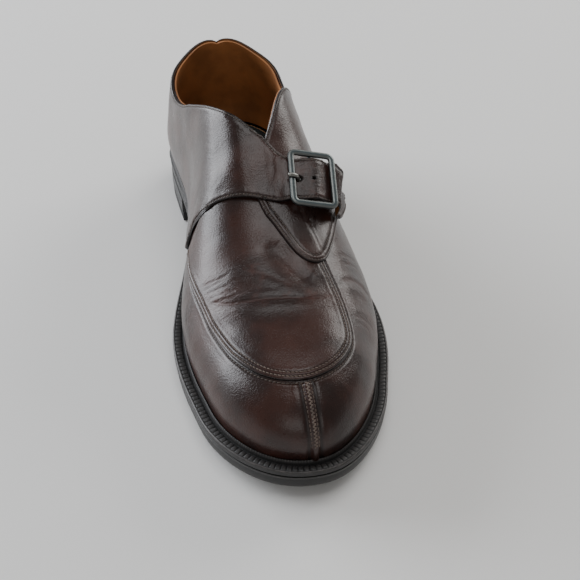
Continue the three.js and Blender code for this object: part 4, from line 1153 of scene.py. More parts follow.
def make_welt(finishes, sizes):
    """The welt: an edge, a band of pressed ticks, a groove and a beaded lip against the upper."""
    columns_per_tick, rim_length = 8, 690
    count = columns_per_tick * round(rim_length / sizes.tick_pitch)
    columns = rim_line(count)
    _, _, outer, run = columns
    tick = np.tile((1.0, 0.45, 0, 0, 0, 0, 0, 0.45), count // columns_per_tick)
    total = run[-1] + run[1]
    beads = max(round(total / sizes.bead_pitch), 1)
    bead = np.abs(np.cos(run / total * math.pi * beads)) ** 1.4
    gap = 1 - bead
    wall = wall_reach(columns)
    inner, crest, foot = WALL + GAP, wall + 0.75, wall + 1.7
    band_in = np.minimum(foot + 0.75, outer - 1.2)
    band_out = np.maximum(outer - 1.35, band_in + 0.3)
    low = OUTSOLE + GAP
    ledge = low + WELT
    lip = ledge + LIP - 0.2
    # Dark marks are painted shade in the ticks, the groove, between the beads and against the upper; rub
    # marks are partly wear and partly painted highlight on the rounded edge, the band and the beads' crests
    band = [(band_out + (band_in - band_out) * share, ledge + 0.10 - 0.42 * tick, tick, 0.35 * (1 - tick))
            for share in (0.2, 0.5, 0.8)]
    rows = [
        (inner, low, 0, 0),
        (outer - 0.5, low, 0, 0),
        (outer - 0.1, low + 0.35, 0, 0),
        (outer, low + 1.0, 0, 0),
        (outer, ledge - 0.85, 0, 0.4),
        (outer - 0.12, ledge - 0.4, 0, 0.8),
        (outer - 0.42, ledge - 0.1, 0, 1.0),
        (outer - 0.85, ledge, 0, 0.6),
        (np.maximum(outer - 1.2, band_out + 0.1), ledge - 0.03, 0, 0.2),
        (band_out, ledge - 0.16 - 0.2 * tick, 0.5 * tick, 0),
        *band,
        (band_in, ledge - 0.12 - 0.2 * tick, 0.5 + 0.5 * tick, 0),
        (foot + 0.35, ledge - 0.5, 1.0, 0),
        (foot, ledge - 0.45, 1.0, 0),
        (foot - 0.25, ledge + 0.55 - 0.1 * gap, 0.6 * gap, 0),
        (crest + 0.3, lip - 0.35 + 0.22 * bead, 0.5 * gap, 0.6 * bead),
        (crest, lip + 0.25 * bead, 0.4 * gap, 0.8 * bead),
        (crest - 0.4, lip - 0.1 + 0.2 * bead, 0.5 * gap, 0.3 * bead),
        (wall + 0.1, lip - 0.75, 1.0, 0),
        (inner, ledge + 0.1, 1.0, 0),
    ]
    obj = sole_loft("welt_strip", columns, rows, closed=True)
    dress_piece(obj, "welt", (finishes.welt,), angle=45)


OUTSOLE_PROFILE = (
    # inset, height, dark (painted shade), rub (partly wear, partly painted highlight)
    (9.00, OUTSOLE, 0, 0),
    (0.50, OUTSOLE, 1.0, 0),
    (0.10, OUTSOLE - 0.25, 0.5, 0.5),
    (0.00, OUTSOLE - 0.60, 0, 1.0),
    (0.05, OUTSOLE - 1.30, 0, 0.6),
    (0.55, OUTSOLE - 1.75, 1.0, 0),
    (0.60, OUTSOLE - 2.60, 0.2, 0),
    (0.45, OUTSOLE - 4.20, 0, 0),
    (0.50, 1.50, 0, 0.2),
    (0.75, 0.60, 0, 0.6),
    (1.50, 0.08, 0, 0.4),
    (2.40, 0.00, 0, 0),
    (5.40, 0.00, 0, 0),
    (5.70, 0.35, 1.0, 0),
    (6.00, 0.35, 1.0, 0),
    (6.30, 0.00, 0, 0),
    (9.00, 0.00, 0, 0),
)


def make_outsole(finishes, sizes):
    """The outsole, with a groove round its edge and the channel of its seam underneath."""
    columns = rim_line(480)
    rows = [(columns[2] - inset, *rest) for inset, *rest in OUTSOLE_PROFILE]
    obj = sole_loft("outsole_leather", columns, rows, ends="strips")
    dress_piece(obj, "outsole", (finishes.sole,), angle=45)


def heel_outline(columns, inset):
    """Plan of the heel: round the back at an even step, then straight across the breast."""
    ring = ring_at(columns, columns[2] - inset)[:, :2]
    breast = -HEEL_LENGTH / 2 + inset
    behind = ring[:, 1] > breast
    start = next(i for i in range(len(ring)) if behind[i] and not behind[i - 1])
    back = np.roll(ring, -start, 0)[:behind.sum()]
    back = resample(back, length_along(back)[-1] / 150)
    right, left = back[-1], back[0]
    across = np.stack([np.linspace(right[0], left[0], 26)[1:-1], np.full(24, breast)], -1)
    across[:, 1] += 2.2 * np.cos(across[:, 0] / abs(right[0]) * math.pi / 2)
    return np.vstack([back, across])


HEEL_PARTS = (
    # name, node, slot, low, high, inset, layers
    ("heel_top_piece_rubber", "heel_top_piece", "heel_rubber", 0.0, TOP_PIECE, 0.6, 1),
    ("heel_stack", "heel", "sole_edge", TOP_PIECE + GAP, HEEL_HEIGHT - GAP, 0.3, 3),
)


def make_heel(finishes, sizes):
    """The heel's layers, and the rubber top piece under them."""
    columns = rim_line(900)
    for name, node, slot, low, high, inset, layers in HEEL_PARTS:
        rings, tones = [], []
        step = (high - low) / layers
        for k in range(layers):
            foot, top, lowest = low + k * step, low + (k + 1) * step, k == 0
            soft = 0.35 if lowest else 0.18
            # Darker at the recessed joints between the layers; rub marks are partly wear and partly painted
            # highlight on the rounded edges
            for extra, z, dark, rub_and_highlight in (
                    (soft + 0.5 * lowest, foot, 0.8, 0),
                    (0.1 * lowest, foot + soft + 0.1, 0, 0.6),
                    (0.0, (foot + top) / 2, 0, 0),
                    (0.0, top - 0.25, 0, 0.3),
                    (0.18, top - 0.05, 0.9, 0)):
                plan = heel_outline(columns, inset + extra)
                rings.append(np.column_stack([plan, np.full(len(plan), z)]))
                tones.append(np.tile((dark, rub_and_highlight, 0.0), (len(plan), 1)))
        obj = loft(name, rings, np.vstack(tones), ends="faces")
        material = finishes.rubber if slot == "heel_rubber" else finishes.sole
        dress_piece(obj, node, (material,), angle=40)


# Inside

INSOLE_INSET, SOCK_INSET, SOCK_LENGTH = 0.5, 2.4, 92.0


def plan_form(points, lift=0.0):
    """Plan places on the seat, lifted straight up."""
    points = np.asarray(points, float)
    height = seat(points[..., 1]) + np.asarray(lift, float)
    normal = np.zeros((*points.shape[:-1], 3))
    normal[..., 2] = 1
    return np.concatenate([points, height[..., None]], -1), normal


def make_insole(finishes, columns):
    """The insole board, a little dished under the foot."""
    outline = ring_at(columns, -INSOLE_INSET)[:, :2]
    flat, faces, away = cut_sheet(outline, (0.5, 1.2), 3.0, form=plan_form)
    dish = 0.35 * 0.5 * smooth(away, 2, 16)
    top, _ = plan_form(flat, -dish - rolled(away, 0.8, 0.6))
    under, _ = plan_form(flat, -INSOLE + 0.05)
    none = np.zeros(len(flat))
    marks = {"marks": np.stack([none, none, 1 - smooth(away, 0, 1)], -1)}
    obj, _ = two_faced("insole_board", top, under, faces, marks)
    dress_piece(obj, "insole", (finishes.insole,), angle=60)


def make_sock(finishes, columns):
    """The padded sock: as wide as the heel inside, with a hollow front edge."""
    ring = ring_at(columns, -SOCK_INSET)[:, :2]
    radius = BALL_WIDTH
    centre = LAST_BACK - SOCK_LENGTH + radius
    keep = ring[ring[:, 1] > centre - np.sqrt(np.maximum(radius ** 2 - ring[:, 0] ** 2, 0))]
    start = np.argmax(np.linalg.norm(keep - np.roll(keep, 1, 0), axis=1))
    keep = np.roll(keep, -start, 0)
    x = np.linspace(keep[-1, 0], keep[0, 0], 30)[1:-1]
    front = np.stack([x, centre - np.sqrt(radius ** 2 - x ** 2)], -1)
    outline = np.vstack([keep, front])
    flat, faces, away = cut_sheet(outline, (0.4, 0.9, 1.6, 2.1, 2.6), 2.2, form=plan_form)
    pad = 0.9 * smooth(away, 2.5, 12)
    seam = dip(away, 2.1, 0.4)
    top, _ = plan_form(flat, 0.95 + pad - 0.2 * seam - rolled(away, 0.7, 0.6))
    under, _ = plan_form(flat, 0.12)
    # Painted shade in the seam's groove, and darker at the rolled edge
    marks = {"marks": np.stack([seam, np.zeros(len(flat)), 1 - smooth(away, 0, 1)], -1)}
    obj, _ = two_faced("heel_sock_pad", top, under, faces, marks)
    dress_piece(obj, "heel_sock", (finishes.sock,), angle=60)


def make_inside(finishes, sizes):
    columns = rim_line(500)
    make_insole(finishes, columns)
    make_sock(finishes, columns)


# Buckle

CORNER_RADIUS = 4.3
NOTCH_HALF, NOTCH_DEPTH = 1.5, 0.75
EYE_RADIUS, EYE_WIRE = 1.55, 0.6


def frame_path(half_x, half_y, radius):
    """Places round the frame's rectangle, with closer ones at the notch that the prong rests in."""
    path = []
    for quarter, (x, y) in enumerate(((1, 1), (-1, 1), (-1, -1), (1, -1))):
        turn = (quarter + np.linspace(0, 1, 9)) * math.pi / 2
        corner = (x * (half_x - radius), y * (half_y - radius))
        path.append(np.stack([np.cos(turn), np.sin(turn)], -1) * radius + corner)
    ring = np.vstack([*path, path[0][:1]])
    run = length_along(ring)
    at = np.linspace(0, run[-1], 150)[:-1]
    places = np.stack([np.interp(at, run, ring[:, i]) for i in range(2)], -1)
    steps = NOTCH_HALF + np.array([0.25, 0.12, 0.0])
    notch = np.array([(-half_x, y) for y in (*steps, *-steps[::-1])])
    away = np.linalg.norm(places[:, None] - notch[None], axis=2).min(1)
    places = np.vstack([places[away > 0.3], notch])
    _, along = nearest_on_line(places, ring)
    return places[np.argsort(along)]


def make_frame(finishes, bar):
    """The frame's rounded bars, and the centre bar hung a little lower on two posts."""
    half_x, half_y = (BUCKLE_WIDTH - bar) / 2, (BUCKLE_LENGTH - bar) / 2
    places = frame_path(half_x, half_y, CORNER_RADIUS - bar / 2)
    way = np.roll(places, -1, 0) - np.roll(places, 1, 0)
    way /= np.linalg.norm(way, axis=1, keepdims=True)
    out = np.stack([way[:, 1], -way[:, 0]], -1)
    in_notch = (places[:, 0] < -half_x + 0.5) & (np.abs(places[:, 1]) < NOTCH_HALF + 0.05)
    sides, square = 20, 3.2
    rings, marks = [], []
    for k in range(sides):
        x, z = math.cos(2 * math.pi * k / sides), math.sin(2 * math.pi * k / sides)
        size = (abs(x) ** square + abs(z) ** square) ** (-1 / square)
        height = np.full(len(places), z * size * BUCKLE_BAR / 2)
        ring = np.column_stack([places + out * x * size * bar / 2, height])
        ring[in_notch, 2] = np.minimum(ring[in_notch, 2], BUCKLE_BAR / 2 - NOTCH_DEPTH)
        rings.append(from_buckle(ring))
        marks.append(np.tile((0.0, abs(x) ** 2 * abs(z) ** 2 * 4, 0.0), (len(places), 1)))
    bars = loft("buckle_bars", rings, np.vstack(marks), closed=True)
    line = [(0, y, -CENTRE_BAR_DROP) for y in np.linspace(-half_y, half_y, 9)]
    pieces = [bars, tube("buckle_centre_bar", line, [CENTRE_BAR / 2] * 9, 16)]
    for y in (-half_y, half_y):
        line = [(0, y, z) for z in np.linspace(-CENTRE_BAR_DROP, 0, 4)]
        pieces.append(tube("buckle_post", line, [CENTRE_BAR / 2] * 4, 16))
    select_only(*pieces)
    bpy.ops.object.join()
    dress_piece(bars, "buckle_frame", (finishes.metal,), angle=35)


def make_prong(finishes):
    """The prong, up through the strap's hole to its notch, and its eye round the centre bar."""
    rest = BUCKLE_BAR / 2 - 0.7 + GAP + PRONG / 2
    wire = [
        (0.0, -CENTRE_BAR_DROP - 1.5),
        (-CENTRE_BAR / 2 - GAP - 1.2, -CENTRE_BAR_DROP - 1.1),
        (PRONG_HOLE_AT + 2.4, -CENTRE_BAR_DROP - 0.9),
        (PRONG_HOLE_AT + 0.8, UNDER_BARS + 0.6),
        (PRONG_HOLE_AT - 0.2, UNDER_BARS + OVERLAY + 0.5),
        (PRONG_HOLE_AT - 1.5, rest - 0.7),
        (PRONG_HOLE_AT - 3.2, rest),
        (-BAR_AT - 1.3, rest),
    ]
    curve = smooth_curve(wire, 0.4)
    run = length_along(curve)
    thick = PRONG / 2 * (1 + 0.15 * smooth(run, run[-1] - 6, run[-1] - 1))
    prong = tube("buckle_prong_pin", [(u, 0.0, w) for u, w in curve], thick, 16, flat=0.9)
    turn = np.linspace(math.pi * 1.35, -math.pi * 0.5, 26)
    line = [(EYE_RADIUS * math.cos(a), 0.0, -CENTRE_BAR_DROP + EYE_RADIUS * math.sin(a)) for a in turn]
    eye = tube("buckle_prong_eye", line, [EYE_WIRE] * len(line), 12)
    select_only(prong, eye)
    bpy.ops.object.join()
    dress_piece(prong, "buckle_prong", (finishes.pin,), angle=50)


def make_buckle(finishes, sizes):
    """The buckle's frame and prong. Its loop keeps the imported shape, with painted edges."""
    make_frame(finishes, sizes.bar_width)
    make_prong(finishes)
    for slot in frame["nodes"]["buckle_loop"].material_slots:
        slot.material = finishes.edge


def tube(name, path, radii, sides, flat=1.0):
    """A round wire along places of the buckle's frame, with rounded ends."""
    path, radii = np.asarray(path, float), np.asarray(radii, float)
    way = np.gradient(path, axis=0)
    way /= np.linalg.norm(way, axis=1, keepdims=True)
    first, last = path[0], path[-1]
    caps = ((0.35, 0.92), (0.7, 0.68), (0.95, 0.3))
    start = [(first - way[0] * radii[0] * a, radii[0] * b, way[0]) for a, b in caps[::-1]]
    end = [(last + way[-1] * radii[-1] * a, radii[-1] * b, way[-1]) for a, b in caps]
    stations = start + list(zip(path, radii, way)) + end
    across = np.array([0.0, 1.0, 0.0]) if np.abs(way[:, 1]).max() < 0.5 else np.array([1.0, 0.0, 0.0])
    turn = np.linspace(0, 2 * math.pi, sides, endpoint=False)
    rings = []
    for place, radius, direction in stations:
        side = across - direction * (across @ direction)
        side /= np.linalg.norm(side)
        up = np.cross(direction, side)
        ring = place + radius * (np.outer(np.cos(turn), side) / flat + np.outer(np.sin(turn), up) * flat)
        rings.append(from_buckle(ring))
    return loft(name, rings, np.zeros((len(rings) * sides, 3)), ends="faces")


# Finishes

class Value:
    """A socket of a material. Sums written with it add Math nodes."""

    def __init__(self, finish, socket):
        self.finish, self.socket = finish, socket

    def _sum(self, operation, first, second, clamp=False):
        settings = {"operation": operation, "use_clamp": clamp}
        return self.finish.node("ShaderNodeMath", settings, {0: first, 1: second})

    def __add__(self, other):
        return self._sum("ADD", self, other)

    def __radd__(self, other):
        return self._sum("ADD", other, self)

    def __sub__(self, other):
        return self._sum("SUBTRACT", self, other)

    def __rsub__(self, other):
        return self._sum("SUBTRACT", other, self)

    def __mul__(self, other):
        return self._sum("MULTIPLY", self, other)

    def __rmul__(self, other):
        return self._sum("MULTIPLY", other, self)

    def held(self):
        """Kept between 0 and 1."""
        return self._sum("ADD", self, 0.0, clamp=True)

    def step(self, low, high):
        """0 below low, 1 above high, eased between."""
        settings = {"interpolation_type": "SMOOTHSTEP"}
        return self.finish.node("ShaderNodeMapRange", settings, {0: self, 1: low, 2: high, 3: 0.0, 4: 1.0})


class Finish:
    """A material under construction."""

    def __init__(self, name):
        self.material = bpy.data.materials.new(name)
        self.material.use_nodes = True
        self.tree = self.material.node_tree
        self.tree.nodes.clear()
        self.shader = self.tree.nodes.new("ShaderNodeBsdfPrincipled")
        output = self.tree.nodes.new("ShaderNodeOutputMaterial")
        self.tree.links.new(self.shader.outputs[0], output.inputs[0])
        self.place = self.node("ShaderNodeTexCoord", {}, {}, "Object")

    def node(self, kind, settings=None, values=None, output=0):
        made = self.tree.nodes.new(kind)
        for key, value in (settings or {}).items():
            setattr(made, key, value)
        for key, value in (values or {}).items():
            self.join(made.inputs[key], value)
        return Value(self, made.outputs[output])

    def join(self, socket, value):
        if isinstance(value, Value):
            self.tree.links.new(value.socket, socket)
        else:
            socket.default_value = value

    def set(self, **values):
        """Values of the shader's own sockets."""
        for key, value in values.items():
            self.join(self.shader.inputs[key.replace("_", " ")], value)
        return self.material

    def mix(self, factor, first, second):
        """Between two colours."""
        colours = [c if isinstance(c, Value) else (*c, 1.0) for c in (first, second)]
        values = {0: factor, 6: colours[0], 7: colours[1]}
        return self.node("ShaderNodeMix", {"data_type": "RGBA"}, values, 2)

    def scaled(self, x, y, z):
        return self.node("ShaderNodeMapping", {}, {"Vector": self.place, "Scale": (x, y, z)})

    def noise(self, size, detail=3.0, rough=0.55, place=None):
        """Uneven pattern whose patches are about a size across, in millimetres."""
        values = {"Vector": place or self.place, "Scale": 1000.0 / size, "Detail": detail, "Roughness": rough}
        return self.node("ShaderNodeTexNoise", {}, values)

    def cells(self, size):
        """Pebbles of a size, in millimetres: 0 at their middles and higher between them."""
        return self.node("ShaderNodeTexVoronoi", {}, {"Vector": self.place, "Scale": 1000.0 / size})

    def marks(self, name="marks"):
        """The three marks that a piece carries on its points."""
        colour = self.node("ShaderNodeAttribute", {"attribute_name": name}, {})
        split = self.tree.nodes.new("ShaderNodeSeparateColor")
        self.tree.links.new(colour.socket, split.inputs[0])
        return [Value(self, socket) for socket in split.outputs[:3]]

    def bump(self, height, distance, strength=1.0, under=None):
        """Relief of a height between 0 and 1, that many millimetres deep."""
        values = {"Height": height, "Distance": distance * MM, "Strength": strength}
        if under is not None:
            values["Normal"] = under
        return self.node("ShaderNodeBump", {}, values)


def shade(colour, share):
    return tuple(share * c for c in colour)


def leather_finish(colours, sizes):
    f = Finish("burnished_leather")
    seam, trough, edge = f.marks()
    near, red, _ = f.marks("tone")
    broad, patch, fine = f.noise(34, 3), f.noise(7, 4), f.noise(1.6, 4, 0.65)
    base = f.mix(broad.step(0.38, 0.64), colours.leather_dark, colours.leather)
    base = f.mix((patch.step(0.5, 0.72) * (0.10 + 0.30 * red)).held(), base, colours.leather_red)
    base = f.mix((trough * 0.30).held(), base, colours.leather_red)
    # Painted shade in the seams' grooves, along the apron's edge and by the toe's fold, the edges' black
    # paint, and darker speckles near the folds
    dark = (0.85 * seam + 0.9 * edge + 0.25 * fine.step(0.55, 0.75) * near).held()
    base = f.mix(dark, base, colours.seam)
    pebble = f.cells(sizes.grain)
    wander = f.noise(2.2, 3)
    grain = 1 - pebble.step(0.15, 0.75)
    pores = f.cells(0.55).step(0.0, 0.22)
    wrinkle = f.noise(2.6, 5, 0.62, f.scaled(0.7, 1.9, 1.2))
    scuff = f.noise(1.1, 5, 0.7, f.scaled(2.2, 0.35, 1.0)).step(0.62, 0.72)
    rough = 0.20 + 0.10 * patch + 0.09 * fine + 0.22 * seam + 0.14 * trough + 0.10 * near * scuff
    normal = f.bump(grain * (0.5 + 0.5 * wander), 0.055)
    normal = f.bump(pores, 0.02, under=normal)
    normal = f.bump(wrinkle * (0.12 + near), 0.30, under=normal)
    normal = f.bump(broad + patch * 0.35, 0.35, 0.6, under=normal)
    return f.set(
        Base_Color=base, Roughness=rough.held(), Coat_Weight=0.10, Coat_Roughness=0.20,
        Specular_IOR_Level=0.40, Normal=normal)


def lining_finish(colours):
    f = Finish("calf_lining")
    cloud, fine = f.noise(22, 4), f.noise(0.9, 3)
    base = f.mix(cloud.step(0.35, 0.7), colours.lining, shade(colours.lining, 0.62))
    normal = f.bump(f.cells(0.7) * 0.6 + fine * 0.4, 0.04)
    return f.set(Base_Color=base, Roughness=(0.55 + 0.2 * fine).held(), Normal=normal)


def insole_finish(colours):
    f = Finish("insole_leather")
    cloud, worn, fine = f.noise(26, 4), f.noise(9, 5, 0.6), f.noise(0.7, 3)
    base = f.mix(cloud.step(0.4, 0.7), colours.insole, shade(colours.insole, 0.55))
    base = f.mix(worn.step(0.55, 0.75) * 0.6, base, shade(colours.insole, 0.35))
    return f.set(Base_Color=base, Roughness=(0.5 + 0.25 * fine).held(), Normal=f.bump(fine + worn, 0.06))


def sock_finish(colours):
    f = Finish("heel_sock_leather")
    seam, _, edge = f.marks()
    cloud, fine = f.noise(15, 4), f.noise(0.8, 3)
    base = f.mix(cloud.step(0.4, 0.7), colours.sock, shade(colours.sock, 0.55))
    # Painted shade in the seam's groove, and darker at the edge
    base = f.mix((0.7 * seam + 0.5 * edge).held(), base, shade(colours.sock, 0.3))
    normal = f.bump(f.cells(0.8) + fine * 0.4, 0.05)
    return f.set(Base_Color=base, Roughness=(0.6 + 0.2 * fine).held(), Normal=normal)


def edge_finish(colours):
    f = Finish("painted_edge")
    fine = f.noise(0.8, 4)
    base = f.mix(f.noise(5, 3).step(0.5, 0.7) * 0.5, colours.edge, shade(colours.edge, 2.5))
    return f.set(Base_Color=base, Roughness=(0.42 + 0.2 * fine).held(), Normal=f.bump(fine, 0.05))


def bottom_finish(name, colour, shine, rub_and_highlight_colour):
    f = Finish(name)
    dark, rub_and_highlight, _ = f.marks()
    cloud, fine = f.noise(18, 4), f.noise(0.9, 4, 0.65)
    scratch = f.noise(2.4, 5, 0.7, f.scaled(1, 1, 3))
    base = f.mix(cloud.step(0.4, 0.7), colour, shade(colour, 0.6))
    # Lighter where rubbed, partly wear and partly painted highlight on the rounded edges; dark marks paint
    # shade in the grooves and under the upper, and darken the heel's joints
    base = f.mix((rub_and_highlight * (0.25 + 0.75 * scratch.step(0.4, 0.65)) * 0.8).held(), base, rub_and_highlight_colour)
    base = f.mix((dark * 0.85).held(), base, shade(colour, 0.12))
    normal = f.bump(fine * 0.6 + scratch * 0.6, 0.07)
    return f.set(Base_Color=base, Roughness=(shine + 0.16 * fine + 0.2 * dark).held(), Normal=normal)


def rubber_finish(colours):
    f = Finish("heel_rubber")
    _, rub_and_highlight, _ = f.marks()
    fine = f.noise(0.6, 4)
    # Lighter along the rounded edges: partly wear, partly painted highlight
    base = f.mix((rub_and_highlight * 0.6).held(), colours.rubber, shade(colours.rubber, 2.2))
    normal = f.bump(fine + f.noise(3, 3), 0.06)
    return f.set(Base_Color=base, Roughness=(0.62 + 0.2 * fine).held(), Normal=normal)


def thread_finish(name, colour):
    f = Finish(name)
    twist = f.noise(0.32, 2)
    base = f.mix(f.noise(6, 3).step(0.35, 0.7), colour, shade(colour, 0.5))
    return f.set(Base_Color=base, Roughness=(0.5 + 0.2 * twist).held(), Normal=f.bump(twist, 0.05))


def metal_finish(name, colour, bright):
    f = Finish(name)
    _, edge, _ = f.marks()
    cloud, fine = f.noise(5, 4), f.noise(0.35, 3)
    base = f.mix(cloud.step(0.4, 0.7), colour, shade(colour, 0.7))
    base = f.mix((edge * 0.7).held(), base, bright)
    rough = (0.28 + 0.12 * cloud + 0.08 * fine).held()
    return f.set(Base_Color=base, Metallic=0.85, Roughness=rough, Normal=f.bump(fine + cloud, 0.03))


def floor_finish(colours):
    f = Finish("studio_floor")
    base = f.mix(f.noise(400, 3).step(0.3, 0.7) * 0.3, colours.floor, shade(colours.floor, 0.96))
    return f.set(Base_Color=base, Roughness=0.75, Normal=f.bump(f.noise(2, 3), 0.05))


class Finishes:
    """Every finish of the shoe, made once."""

    def __init__(self, colours, sizes):
        self.leather = leather_finish(colours, sizes)
        self.lining = lining_finish(colours)
        self.insole = insole_finish(colours)
        self.sock = sock_finish(colours)
        self.edge = edge_finish(colours)
        # The last colour of the welt and the sole is for rubbed edges, partly wear and partly painted
        # highlight
        self.welt = bottom_finish("welt_leather", tuple(colours.welt), 0.38, (0.085, 0.075, 0.072))
        self.sole = bottom_finish("sole_edge", tuple(colours.welt), 0.34, (0.075, 0.07, 0.066))
        self.rubber = rubber_finish(colours)
        self.thread = thread_finish("waxed_thread", tuple(colours.thread))
        self.dark_thread = thread_finish("dark_thread", tuple(colours.dark_thread))
        self.metal = metal_finish("gunmetal", tuple(colours.metal), (0.26, 0.27, 0.26))
        self.pin = metal_finish("worn_steel", (0.30, 0.30, 0.28), (0.42, 0.42, 0.40))
        self.floor = floor_finish(colours)


# Seams

def make_stitches(finishes, sizes):
    """Every row of stitches: round the apron, down the split toe, and along the quarters."""
    stitch = stitch_shape()
    vamp, apron, lateral, medial = (bpy.data.objects[name] for name in (
        "vamp", "apron_plug", "lateral_quarter_leather", "medial_quarter_leather"))
    pitch, width = sizes.stitch_pitch, sizes.stitch_width
    edge = even_line(APRON_LINE)
    rows = stitch_line(vamp, beside(edge, -VAMP_SEAM), pitch, 0.12, width, 0.22)
    sew("apron_seam_outer", stitch, rows, finishes.dark_thread)
    rows = []
    for at, gap in zip(APRON_SEAMS, (0.08, 0.10)):
        rows += stitch_line(apron, beside(edge, at), pitch * 0.92, gap, width, -0.18)
    sew("apron_seam_inner", stitch, rows, finishes.thread)

    split = np.stack([np.zeros(60), np.linspace(TOE_TOP - 1.6, FLAT_TOE - 0.80 * REACH, 60)], -1)
    rows = []
    for shift, tilt in ((0.0, 0.72), (0.5, -0.72)):
        rows += stitch_line(vamp, split - (0, shift), 1.75, -0.35, 0.62, tilt)
    for side in (-1, 1):
        rows += stitch_line(vamp, split + (side * VALLEY_AT, 0), 2.1, 0.25, 0.5)
    sew("split_toe_seam", stitch, rows, finishes.thread)

    for name, piece, lines in (
            ("lateral_quarter_seam", lateral, (
                (LATERAL_FRONT_LINE, -SEAM_AT, ABOVE),
                (LATERAL_FRONT_LINE, -SECOND_SEAM, ABOVE),
                (LATERAL_COLLAR, -SEAM_AT, ABOVE))),
            ("medial_quarter_seam", medial, (
                (STRAP_LINE, SEAM_AT, ABOVE + 3),
                (MEDIAL_COLLAR, SEAM_AT, ABOVE)))):
        rows = []
        for line, offset, lift in lines:
            line = beside(even_line(line), offset)
            rows += stitch_line(piece, line, pitch * 0.85, 0.16, width * 0.9, 0.1, lift)
        sew(name, stitch, rows, finishes.dark_thread)


# Stage

# Where the photograph was taken from and the first guess of where it looks, in metres
PHOTO_EYE = (-0.0773, -0.5732, 0.4034)
FIRST_AIM = (0.004, -0.118, 0.045)
LIGHTS_AIM = (0, -0.11, 0.05)
FRAMED_HEIGHT = 0.06


def make_lights(sizes):
    for name, place, size, power, colour in (
            ("window_back_left", (-1.35, 1.05, 0.62), (1.5, 1.1), sizes.window_light, (0.92, 0.95, 1.0)),
            ("soft_back_right", (1.3, 0.75, 0.75), (0.9, 0.9), sizes.side_light, (1.0, 0.98, 0.95)),
            ("soft_overhead", (0.15, -0.1, 1.7), (1.0, 1.0), sizes.top_light, (1.0, 1.0, 1.0)),
            ("soft_front", (-0.5, -1.6, 0.9), (1.2, 0.8), sizes.front_light, (1.0, 0.99, 0.97))):
        light = bpy.data.lights.new(name, "AREA")
        light.shape = "RECTANGLE"
        light.size, light.size_y = size
        light.energy = power
        light.color = colour
        lamp = bpy.data.objects.new(name, light)
        lamp.location = place
        way = Vector(LIGHTS_AIM) - Vector(place)
        lamp.rotation_euler = way.to_track_quat("-Z", "Y").to_euler()
        bpy.context.scene.collection.objects.link(lamp)


def make_camera(sizes):
    """A camera at the photograph's place, aimed so that the shoe lies in the middle of the picture."""
    eye = np.array(PHOTO_EYE)
    (x_low, y_low, _), (x_high, y_high, _) = CAD_BOX
    corners = np.array([
        [x, y, z] for x in (x_low, x_high) for y in (y_low, y_high) for z in (0, FRAMED_HEIGHT)])
    aim = np.array(FIRST_AIM)
    for _ in range(8):
        distance = np.linalg.norm(aim - eye)
        forward = (aim - eye) / distance
        right = np.cross(forward, (0, 0, 1))
        right /= np.linalg.norm(right)
        up = np.cross(right, forward)
        away = corners - eye
        x, y = away @ right / (away @ forward), away @ up / (away @ forward)
        aim = aim + (right * (x.max() + x.min()) / 2 + up * (y.max() + y.min()) / 2) * distance
    camera = bpy.data.cameras.new("photo_angle")
    camera.lens = sizes.lens
    camera.sensor_width = 36.0
    camera.clip_start = 0.02
    holder = bpy.data.objects.new("photo_angle", camera)
    basis = Matrix((Vector(right), Vector(up), Vector(-forward))).transposed()
    holder.matrix_world = Matrix.Translation(Vector(eye)) @ basis.to_4x4()
    bpy.context.scene.collection.objects.link(holder)
    bpy.context.scene.camera = holder


def make_stage(finishes, sizes):
    """The floor, the light of the room, the lamps and the camera."""
    bpy.ops.object.select_all(action="DESELECT")
    bpy.ops.mesh.primitive_plane_add(size=5.0, location=(0, 0, 0))
    floor = bpy.context.object
    floor.name = "studio_floor_plane"
    floor.data.materials.append(finishes.floor)

    world = bpy.data.worlds.new("studio_room")
    bpy.context.scene.world = world
    world.use_nodes = True
    room = world.node_tree.nodes["Background"]
    room.inputs["Color"].default_value = (1.0, 0.97, 0.94, 1.0)
    room.inputs["Strength"].default_value = sizes.room_light
    make_lights(sizes)
    make_camera(sizes)


# Add-on

def colour_of(name, words, value):
    return bpy.props.FloatVectorProperty(
        name=name, description=words, default=value, size=3, min=0, max=1, subtype="COLOR")


def size_of(name, words, value, low=0.0, **more):
    return bpy.props.FloatProperty(name=name, description=words, default=value, min=low, **more)


def power_of(name, words, value):
    return size_of(name, words, value, unit="POWER")


class ShoeSizes(bpy.types.PropertyGroup):
    """Sizes of the trim that dresses the shoe, in millimetres, and the strength of its lights"""
    stitch_pitch: size_of("Stitch pitch", "From one stitch to the next", 2.1, 1)
    stitch_width: size_of("Stitch width", "Thickness of the thread", 0.6, 0.2)
    seam_depth: size_of("Seam depth", "How far the rows are pulled in", 1.0, max=2)
    tick_pitch: size_of("Welt tick pitch", "From one welt mark to the next", 2.9, 1)
    bead_pitch: size_of("Welt bead pitch", "From one bead of the lip to the next", 1.6, 1)
    bar_width: size_of("Buckle bar width", "Width of the buckle's bars", 3.2, 2, max=4)
    grain: size_of("Grain", "Size of the leather's pebbles", 0.85, 0.2)
    lens: size_of("Lens", "Focal length of the camera", 67.0, 20, unit="CAMERA")
    room_light: size_of("Room light", "Strength of the light all round", 0.24)
    window_light: power_of("Window light", "Power of the window", 46.0)
    side_light: power_of("Side light", "Power of the light at the right", 13.0)
    top_light: power_of("Top light", "Power of the light above", 9.0)
    front_light: power_of("Front light", "Power of the light in front", 4.0)


